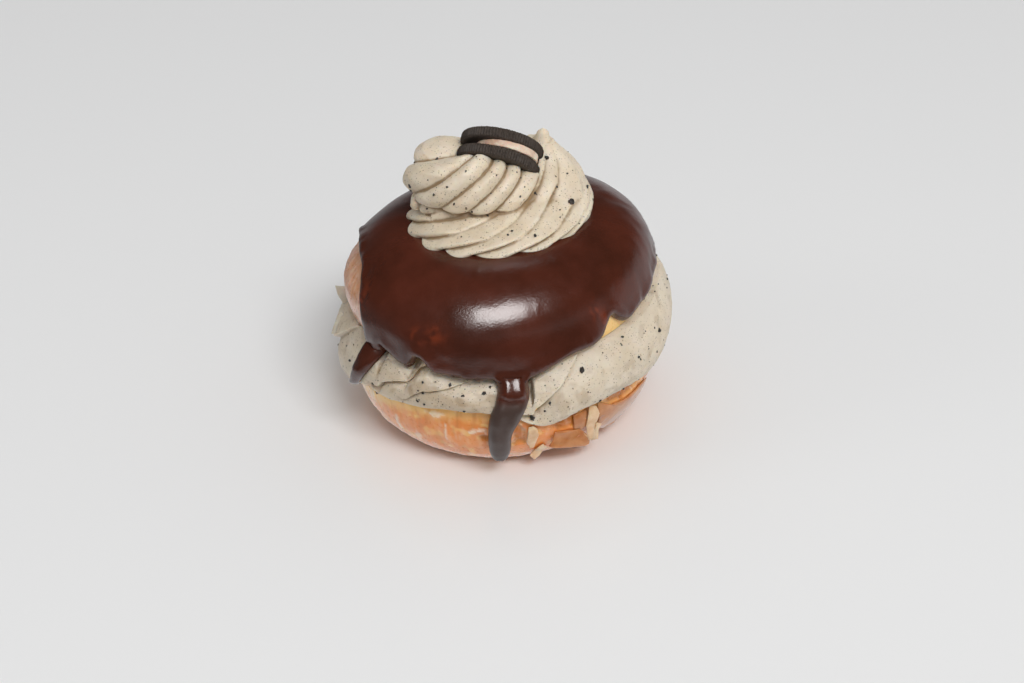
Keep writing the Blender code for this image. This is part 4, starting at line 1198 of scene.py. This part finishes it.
def crust_material(name, base, settings):
    material, tree, shader, place = new_material(
        name, 0.3, Subsurface_Weight=0.3, Subsurface_Radius=(2.6, 1.0, 0.4), Subsurface_Scale=0.001,
        Coat_Weight=0.4, Coat_Roughness=0.18)
    surface = mottled(tree, place, 110.0, 3.0, shaded(base, 0.88, 0.74, 0.52), base)
    surface = blend_colour(tree, painted(tree, "band"), surface, rgba(settings.band))
    surface = blend_colour(tree, painted(tree, "deep"), surface, rgba(settings.deep))
    patchy = use(tree, "Mottle", {"Vector": place, "Scale": 700.0, "Contrast": 4.0})["Mask"]
    pale = maths(tree, "MULTIPLY", painted(tree, "glaze"), spread_over(tree, patchy, 0.62, 1.0))
    surface = blend_colour(tree, pale, surface, rgba(settings.glaze))
    tree.links.new(surface, shader.inputs["Base Color"])
    tree.links.new(spread_over(tree, patchy, 0.26, 0.42), shader.inputs["Roughness"])
    roughen(tree, shader, place, 900.0, 0.6, 0.0005, 0.5)
    return material


def icing_material(settings):
    material, tree, shader, place = new_material("poured_chocolate", 0.15, Specular_IOR_Level=0.55)
    surface = mottled(tree, place, 60.0, 2.6, settings.dark, settings.warm)
    surface = blend_colour(tree, painted(tree, "glow"), surface, rgba(settings.glow))
    # Painted reflection of the pale floor: the long drip is greyer, and also rougher
    dull = painted(tree, "dull")
    surface = blend_colour(tree, dull, surface, rgba(settings.dull))
    tree.links.new(surface, shader.inputs["Base Color"])
    haze = use(tree, "Mottle", {"Vector": place, "Scale": 240.0, "Contrast": 2.0})["Mask"]
    wet = spread_over(tree, haze, 0.18, 0.26)
    rough = node(tree, "Math", {0: dull, 1: 0.16, 2: wet}, operation="MULTIPLY_ADD")
    tree.links.new(rough.outputs[0], shader.inputs["Roughness"])
    roughen(tree, shader, place, 1500.0, 0.5, 0.00016, 0.6)
    return material


def glaze_material(name, tone, pale, roughness=0.28):
    """Cracked glaze that light sinks into, mottled from a tone to a paler one."""
    material, tree, shader, place = new_material(
        name, roughness, Subsurface_Weight=0.5, Subsurface_Radius=(2.0, 1.3, 0.8), Subsurface_Scale=0.001,
        Coat_Weight=0.3, Coat_Roughness=0.2)
    surface = mottled(tree, place, 300.0, 3.0, tone, pale)
    tree.links.new(surface, shader.inputs["Base Color"])
    roughen(tree, shader, place, 1200.0, 0.6, 0.0003, 0.4)
    return material


def wafer_material(name, base, roughness=0.62):
    material, tree, shader, place = new_material(name, roughness, Specular_IOR_Level=0.3)
    light = [2.4 * b + 0.008 for b in base]
    surface = mottled(tree, place, 800.0, 3.0, base, light)
    # Painted highlight: the rib crests are lighter
    surface = blend_colour(tree, painted(tree, "worn"), surface, rgba([2.0 * b + 0.012 for b in base]))
    tree.links.new(surface, shader.inputs["Base Color"])
    roughen(tree, shader, place, 1700.0, 0.5, 0.0007, 0.8)
    return material


def cream_disc_material(settings):
    material, tree, shader, place = new_material("biscuit_cream", 0.6, Subsurface_Weight=0.2,
                                                 Subsurface_Scale=0.001)
    surface = mottled(tree, place, 260.0, 3.0, settings.cream, shaded(settings.cream, 0.72, 0.5, 0.42))
    tree.links.new(surface, shader.inputs["Base Color"])
    roughen(tree, shader, place, 1500.0, 0.5, 0.0005, 0.6)
    return material


def floor_material(settings):
    material, tree, shader, place = new_material("floor", 0.32, Specular_IOR_Level=0.5)
    pale = [1.01 * c for c in settings.floor]
    surface = mottled(tree, place, 3.0, 0.6, settings.floor, pale)
    tree.links.new(surface, shader.inputs["Base Color"])
    return material


# Pieces


def outline_at(corners, angle):
    """Point of a polygon for each column of a sphere, corners kept sharp."""
    corners = np.asarray(corners, float)
    spot = np.rint((angle % FULL_TURN) / FULL_TURN * len(corners) * SHELL_STEPS) / SHELL_STEPS
    first = np.floor(spot).astype(int) % len(corners)
    share = (spot - np.floor(spot))[:, None]
    return corners[first] * (1 - share) + corners[(first + 1) % len(corners)] * share


def shell(name, corners, lift, stand):
    """A piece of broken glaze that follows the lower half's side, and hangs straight below the
    height where it stands off."""
    corners = np.array(corners, float) * (radians(1), MM)
    middle = corners.mean(axis=0)

    def place(angle, share):
        edge = outline_at(corners, angle)
        edge = edge + 0.012 * (edge - middle) * np.sin(5 * angle + 40 * middle[0])[:, None]
        spread = np.minimum(1.02 * np.sin(pi * share) ** 0.35, 1)[:, None]
        flat = middle + (edge - middle) * spread
        thick = -np.cos(pi * share) * SHELL_HALF_THICKNESS
        radius = lower_radius(flat[:, 0], np.maximum(flat[:, 1], stand * MM)) + lift * MM + thick
        return around(flat[:, 0], radius, flat[:, 1])
    obj = sphere_body(name, len(corners) * SHELL_STEPS, SHELL_RINGS, place)
    points = get_points(obj)
    set_points(obj, points + 0.10 * MM * noise_at(points, 1.6 * MM, 71, 2)[:, None] * (1, 1, 0.3))
    return obj


def side_flake(name, middle, facing, corners):
    """A flat flake that stands out at the left."""
    stand = np.array(Vector(facing).to_track_quat("Z", "Y").to_matrix())
    corners = np.array(corners, float) * MM

    def place(angle, share):
        flat = outline_at(corners, angle) * np.minimum(1.02 * np.sin(pi * share) ** 0.35, 1)[:, None]
        curl = 14.0 * flat[:, 0] * flat[:, 1]
        local = np.c_[flat, curl - np.cos(pi * share) * SHELL_HALF_THICKNESS]
        return np.array(middle) * MM + local @ stand.T
    return sphere_body(name, len(corners) * SHELL_STEPS, SHELL_RINGS, place)


def crumb(place, normal, size, seed):
    """An angular crumb pressed into the cream."""
    rng = np.random.default_rng(seed)
    deselect()
    bpy.ops.mesh.primitive_ico_sphere_add(subdivisions=1 if size < 0.8 * MM else 2, radius=1)
    obj = bpy.context.object
    points = get_points(obj)
    points *= 0.5 * size * rng.uniform(0.55, 1.15, 3)
    points += 0.16 * size * rng.uniform(-1, 1, points.shape)
    turn = np.array(Euler(rng.uniform(0, FULL_TURN, 3)).to_matrix())
    set_points(obj, points @ turn.T + np.array(place) + 0.05 * size * np.array(normal))
    return obj


def crumbs_on(name, obj, rows, count, seed, window):
    """Crumbs in a piece, at the places of a table and scattered over its window."""
    tree = skin(obj)
    made = []
    for k, (x, y, size) in enumerate(rows):
        place, normal, _, _ = tree.ray_cast(CAMERA_PLACE, sight(x, y))
        if place is not None:
            made.append(crumb(place, normal, size * MM, k + seed))
    rng = np.random.default_rng(seed)
    least, more = SCATTERED_SIZE
    points, normals = get_points(obj), get_normals(obj)
    good = np.flatnonzero(window(points))
    for k, index in enumerate(rng.choice(good, count, replace=False)):
        size = (least + more * rng.uniform() ** 3) * MM
        made.append(crumb(points[index], normals[index], size, 100 + k + seed))
    dress(join(made, name), wafer_material(name, CRUMB_COLOUR), "dark_wafer", smooth=False)


class DOUGHNUT_OT_lower_half(bpy.types.Operator):
    """Makes the lower half with its glazed crust and the pieces of glaze that have come off it"""
    bl_idname = "doughnut.lower_half"
    bl_label = "Lower Half"

    def execute(self, context):
        settings = context.scene.doughnut.dough
        obj = sphere_body("lower_crust", *LOWER_GRID, lower_place)
        points = get_points(obj)
        angle = np.arctan2(points[:, 1], points[:, 0])
        rim = ring_value(LOWER_RIM_Z, angle)
        side = ramp(np.hypot(points[:, 0], points[:, 1]), 24 * MM, 34 * MM) * ramp(points[:, 2], 0, 3 * MM)
        side *= ramp(rim - points[:, 2], 0, 1.5 * MM)
        uneven = noise_at(points, 3.2 * MM, 5, 3)
        streaks = noise_at(points * (1, 1, 0.3), 2.4 * MM, 1, 3)
        cracks = side * np.clip(1 - np.abs(noise_at(points * (1, 1, 0.4), 9 * MM, 8, 2)) / 0.035, 0, 1)
        cracks *= ramp(noise_at(points, 7 * MM, 9, 2), 0.0, 0.3)
        pale = marks_at(points, PALE_MARKS, uneven)
        sponge = marks_at(points, SPONGE_MARKS, 0.6 * uneven)
        relief = settings.wrinkle * (streaks + 0.6 * noise_at(points, 7 * MM, 2, 2))
        relief += 0.22 * MM * cracks + 0.3 * MM * pale
        relief -= sponge * MM * (0.7 + 0.45 * noise_at(points, 1.3 * MM, 12, 2))
        push(obj, side * relief)
        below = (rim - points[:, 2]) / MM
        right = ramp(np.cos(angle - radians(-60)), 0.5, 0.8)
        band = ramp(-below, -7.5 - 3 * uneven, -2.5) * (1 - 0.4 * right)
        paint(obj, "band", np.clip(band + 0.6 * ramp(uneven, 0.2, 0.5), 0, 1))
        # Darker in the sponge marks, in the lowest 3 mm and in the recessed streaks
        paint(obj, "deep", np.clip(0.85 * sponge + 0.5 * ramp(-points[:, 2] / MM, -3.0, 0)
                                   + 0.35 * ramp(-streaks, 0.25, 0.6), 0, 1))
        paint(obj, "glaze", np.clip(0.85 * pale + 0.7 * cracks
                                    + 0.25 * ramp(streaks, 0.3, 0.6) * (1 - band), 0, 1))
        material = crust_material("glazed_crust", settings.crust, settings)
        dress(obj, material, "glazed_crust", "lower_bun")
        for name, table, tone, bright in SHELL_COLOURS:
            shells = join([shell(name, *row) for row in table], name)
            dress(shells, glaze_material(name, tone, bright), "glazed_crust")
        return {"FINISHED"}


class DOUGHNUT_OT_upper_half(bpy.types.Operator):
    """Makes the upper half, with its bare flank"""
    bl_idname = "doughnut.upper_half"
    bl_label = "Upper Half"

    def execute(self, context):
        settings = context.scene.doughnut.dough
        obj = sphere_body("upper_crust", *UPPER_GRID, upper_place)
        points = get_points(obj)
        flank = ramp(-points[:, 0], 26 * MM, 38 * MM) * ramp(-points[:, 2], -62 * MM, -54 * MM)
        folds = noise_at(points * (1, 1, 0.25), 1.5 * MM, 11, 3)
        push(obj, flank * 0.22 * MM * folds)
        spots = marks_at(points, FLANK_MARKS, folds)
        paint(obj, "band", 1 - flank)
        paint(obj, "deep", np.clip(flank * 0.3 * ramp(-folds, 0.2, 0.6) + spots, 0, 1))
        paint(obj, "glaze", flank * 0.4 * ramp(folds, 0.0, 0.6) * (1 - spots))
        material = crust_material("flank_crust", settings.flank, settings)
        dress(obj, material, "upper_crust", "upper_bun")
        return {"FINISHED"}


class DOUGHNUT_OT_filling(bpy.types.Operator):
    """Makes the lobed cream filling with its crumbs and the flakes that stick in it"""
    bl_idname = "doughnut.filling"
    bl_label = "Filling"

    def execute(self, context):
        settings = context.scene.doughnut.cream
        obj = sphere_body("filling_cream", *FILLING_GRID, filling_place)
        points = get_points(obj)
        side = ramp(np.hypot(points[:, 0], points[:, 1]), 43 * MM, 46 * MM)
        push(obj, side * bumps(points, FILLING_BUMPS))
        angle = np.degrees(np.arctan2(points[:, 1], points[:, 0]))
        strength, place, width, low, high = FILLING_SHADE
        shade = strength * np.exp(-(((angle - place) / width) ** 2)) * ramp(points[:, 2], low, high)
        left = ramp(-points[:, 0], 30 * MM, 44 * MM)
        folds = hollows(obj, *FILLING_HOLLOW_SHADE) * (1 - 0.45 * left)
        clouds = 0.3 * ramp(noise_at(points, 5 * MM, 23, 3), 0.2, 0.6)
        roof = ramp(get_normals(obj)[:, 2], 0.5, 0.8)
        # Painted shade on the filling's side: darker in its folds and in the icing's shadow, with random tan
        # clouds; faces that look up are left out
        paint(obj, "hollow", side * (1 - roof) * np.clip(folds + shade + clouds, 0, 1))
        material = cream_material("filling_cream", settings.filling, settings)
        dress(obj, material, "filling_cream", "cream_filling")

        def window(points):
            least_radius, furthest_back, furthest_out = FILLING_WINDOW
            return ((np.hypot(points[:, 0], points[:, 1]) > least_radius)
                    & (points[:, 1] < furthest_back) & (np.abs(points[:, 0]) < furthest_out))
        crumbs_on("filling_crumbs", obj, FILLING_CRUMBS, *FILLING_SCATTER, window)
        flakes = join([side_flake("side_flake", *row) for row in SIDE_FLAKES], "side_flakes")
        material = glaze_material("pale_glaze", (0.50, 0.46, 0.38), (0.66, 0.60, 0.50))
        dress(flakes, material, "filling_cream")
        return {"FINISHED"}


class DOUGHNUT_OT_icing(bpy.types.Operator):
    """Makes the poured icing with its uneven edge and its two drips"""
    bl_idname = "doughnut.icing"
    bl_label = "Icing"

    def execute(self, context):
        settings = context.scene.doughnut.icing
        base = icing_base()
        outline = icing_outline(base)
        flat, away = icing_points(outline, base, settings.border, settings.spacing)
        edges = [(k, (k + 1) % len(outline)) for k in range(len(outline))]
        places, _, faces, sources, _, _ = geometry.delaunay_2d_cdt(
            [Vector(p) for p in flat], edges, [], 1, 1e-7)
        away = away[[source[0] for source in sources]]
        flat = np.array([tuple(p) for p in places])
        solid = icing_surface(flat, base, 0)
        outer = icing_surface(flat, base, icing_lift(solid, away, settings))
        inner_index = np.arange(len(away))
        inside = np.flatnonzero(away > 0)
        inner_index[inside] = len(away) + np.arange(len(inside))
        points = tilted(np.vstack([outer, solid[inside]]))
        under = [tuple(inner_index[i] for i in reversed(face)) for face in faces]
        obj = code_body("chocolate", points, list(faces) + under)
        angle = np.arctan2(solid[:, 1], solid[:, 0] - UPPER_CENTRE_X)
        glow = sum(spot_at(angle, solid[:, 2], *row) for row in ICING_GLOWS)
        glow *= 0.6 * ramp(noise_at(solid, 2.4 * MM, 33, 3), -0.25, 0.35)
        # Painted reflection: the long drip below its head is marked greyer and rougher
        place, inner, outer, low, high = DRIP_REFLECTION
        near_drip = 1 - ramp(np.abs(angle - place) * HANG_RADIUS[0], inner, outer)
        dull = near_drip * (1 - ramp(solid[:, 2], low, high))
        paint(obj, "glow", np.clip(np.r_[glow, glow[inside]], 0, 1))
        paint(obj, "dull", np.r_[dull, dull[inside]])
        dress(obj, icing_material(settings), "chocolate", "chocolate_icing")
        return {"FINISHED"}


class DOUGHNUT_OT_swirl(bpy.types.Operator):
    """Makes the piped swirl and its crumbs"""
    bl_idname = "doughnut.swirl"
    bl_label = "Swirl"

    def execute(self, context):
        settings = context.scene.doughnut.cream
        biscuit = context.scene.doughnut.biscuit
        parts = [swirl_mound(), swirl_tier(), peak_tip(), *loose_ridges()]
        obj = join(parts, "swirl")
        apply_modifier(obj, "REMESH", mode="VOXEL", voxel_size=settings.voxel)
        apply_modifier(obj, "SMOOTH", factor=0.5, iterations=1)
        push(obj, bumps(get_points(obj), SWIRL_BUMPS))
        # Painted shade in the swirl's creases
        paint(obj, "hollow", hollows(obj, *SWIRL_HOLLOW_SHADE))
        thickness = context.scene.doughnut.icing.thickness
        seats = [wafer_body("seat", side, biscuit, SEAT_GRID, spare=SEAT_SPARE) for side in (-1, 1)]

        def middle_seat(angle, share):
            radius, height = (biscuit.radius, BISCUIT_FILLING_THICKNESS) + np.array(MIDDLE_SEAT_SPARE)
            return on_biscuit(disc_place(angle, share, radius, height))
        seats.append(sphere_body("seat", *MIDDLE_SEAT_GRID, middle_seat))
        for cutter in (icing_lid(thickness), *seats):
            apply_modifier(obj, "BOOLEAN", object=cutter, operation="DIFFERENCE", solver="EXACT")
            bpy.data.objects.remove(cutter)
        dress(obj, cream_material("swirl_cream", settings.swirl, settings), "swirl_cream", "cream_swirl")
        crumbs_on("swirl_crumbs", obj, SWIRL_CRUMBS, *SWIRL_SCATTER,
                  lambda points: points[:, 2] > SWIRL_CRUMBS_FROM_Z)
        return {"FINISHED"}


class DOUGHNUT_OT_biscuit(bpy.types.Operator):
    """Makes the sandwich biscuit: two ribbed wafers and the cream between them"""
    bl_idname = "doughnut.biscuit"
    bl_label = "Biscuit"

    def execute(self, context):
        settings = context.scene.doughnut.biscuit
        material = wafer_material("cocoa_wafer", settings.wafer)
        for side, name in ((-1, "lower_wafer"), (1, "upper_wafer")):
            grid = (settings.ribs * RIB_COLUMNS, WAFER_RINGS)
            obj = wafer_body(name, side, settings, grid, settings.ribs)
            push(obj, bumps(get_points(obj), WAFER_BUMPS))
            # Painted highlight on the rib crests
            paint(obj, "worn", ramp(-hollowness(obj, CREST_HIGHLIGHT_ROUNDS), 0, CREST_HIGHLIGHT_HEIGHT))
            dress(obj, material, "dark_wafer", "biscuit_" + name)
        middle = sphere_body("wafer_cream", *WAFER_CREAM_GRID, biscuit_cream_place)
        push(middle, bumps(get_points(middle), WAFER_CREAM_BUMPS))
        dress(middle, cream_disc_material(settings), "biscuit_cream", "biscuit_cream")
        return {"FINISHED"}


# Stage


def area_light(name, place, size, energy, reflected):
    data = bpy.data.lights.new(name, "AREA")
    data.shape = "RECTANGLE"
    data.size, data.size_y = size
    data.energy = energy
    light = bpy.data.objects.new(name, data)
    light.location = place
    light.rotation_euler = (LIT_PLACE - place).to_track_quat("-Z", "Y").to_euler()
    light.visible_glossy = reflected
    bpy.context.scene.collection.objects.link(light)
    return light


def polar(azimuth, elevation, distance):
    azimuth, elevation = radians(azimuth), radians(elevation)
    return Vector((cos(azimuth) * cos(elevation), sin(azimuth) * cos(elevation), sin(elevation))) * distance


def make_world(settings):
    """Surroundings that shiny parts show instead of the floor: pale below, but dark low in front;
    pale along the horizon at the right, and dark above."""
    world = bpy.data.worlds.new("studio")
    world.use_nodes = True
    tree = world.node_tree
    along = node(tree, "SeparateXYZ", {0: node(tree, "TexCoord").outputs["Generated"]}).outputs

    def blend(axis, low, high, start, end):
        sockets = {"Value": along[axis], "From Min": low, "From Max": high, "To Min": start, "To Max": end}
        return node(tree, "MapRange", sockets, interpolation_type="SMOOTHSTEP").outputs[0]
    side = blend("X", -0.6, 0.1, 0.16, 0.62)
    front = blend("Z", -0.76, -0.55, 0.9, 0.03)
    behind = blend("Z", -0.62, -0.36, 0.9, side)
    ground = blend("Y", -0.45, -0.15, front, behind)
    right = blend("X", -0.5, 0.3, 0.2 * settings.horizon, settings.horizon)
    above = blend("Z", 0.03, 0.30, right, 0.03)
    level = blend("Z", -0.01, 0.02, ground, above)
    tree.links.new(level, tree.nodes["Background"].inputs["Strength"])
    tree.nodes["Background"].inputs["Color"].default_value = (0.97, 0.98, 1.0, 1)
    return world


class DOUGHNUT_OT_stage(bpy.types.Operator):
    """Makes the floor, the lights and the camera"""
    bl_idname = "doughnut.stage"
    bl_label = "Stage"

    def execute(self, context):
        settings = context.scene.doughnut.stage
        deselect()
        bpy.ops.mesh.primitive_plane_add(size=8, location=(0, 0, -0.0002))
        floor = context.object
        floor.name = "floor"
        floor.data.materials.append(floor_material(settings))
        floor.visible_glossy = False
        lights = {name: area_light(name, polar(*place), size, getattr(settings, name), reflected)
                  for name, place, size, reflected in LIGHTS}
        lights["gleam"].rotation_euler.rotate_axis("Z", GLEAM_ROLL)
        lights["gleam"].visible_diffuse = False
        sky = bpy.data.lights.new("sky", "SUN")
        sky.energy, sky.angle = settings.sky, SKY_WIDTH
        dome = bpy.data.objects.new("sky", sky)
        dome.visible_glossy = False
        dome.rotation_euler = (0, SKY_TILT, 0)
        context.scene.collection.objects.link(dome)
        context.scene.world = make_world(settings)
        camera = bpy.data.cameras.new("camera")
        camera.lens, camera.sensor_width = LENS, SENSOR
        view = bpy.data.objects.new("camera", camera)
        view.location = CAMERA_PLACE
        view.rotation_euler = (pi / 2 - CAMERA_ELEVATION, 0, 0)
        context.scene.collection.objects.link(view)
        context.scene.camera = view
        context.scene.view_settings.view_transform = "Standard"
        return {"FINISHED"}


class DOUGHNUT_PT_panel(bpy.types.Panel):
    """Settings and pieces of the doughnut"""
    bl_idname = "DOUGHNUT_PT_panel"
    bl_label = "Doughnut"
    bl_space_type = "VIEW_3D"
    bl_region_type = "UI"
    bl_category = "Doughnut"

    def draw(self, context):
        for settings in PROPERTY_GROUPS[:-1]:
            box = self.layout.box()
            owner = getattr(context.scene.doughnut, settings.__name__.removesuffix("Settings").lower())
            for name in settings.__annotations__:
                box.prop(owner, name)
        for operator in OPERATORS:
            self.layout.operator(operator.bl_idname)


PROPERTY_GROUPS = (DoughSettings, CreamSettings, IcingSettings, BiscuitSettings, StageSettings,
                   DoughnutSettings)
OPERATORS = (DOUGHNUT_OT_stage, DOUGHNUT_OT_lower_half, DOUGHNUT_OT_upper_half, DOUGHNUT_OT_filling,
             DOUGHNUT_OT_icing, DOUGHNUT_OT_swirl, DOUGHNUT_OT_biscuit)
CLASSES = PROPERTY_GROUPS + OPERATORS + (DOUGHNUT_PT_panel,)


def register():
    for item in CLASSES:
        bpy.utils.register_class(item)
    bpy.types.Scene.doughnut = PointerProperty(type=DoughnutSettings)


def unregister():
    del bpy.types.Scene.doughnut
    for item in reversed(CLASSES):
        bpy.utils.unregister_class(item)


def main():
    register()
    make_specks_group()
    make_mottle_group()
    make_grain_group()
    bpy.ops.doughnut.stage()
    bpy.ops.doughnut.lower_half()
    bpy.ops.doughnut.upper_half()
    bpy.ops.doughnut.filling()
    bpy.ops.doughnut.icing()
    bpy.ops.doughnut.swirl()
    bpy.ops.doughnut.biscuit()


if __name__ == "__main__":
    main()
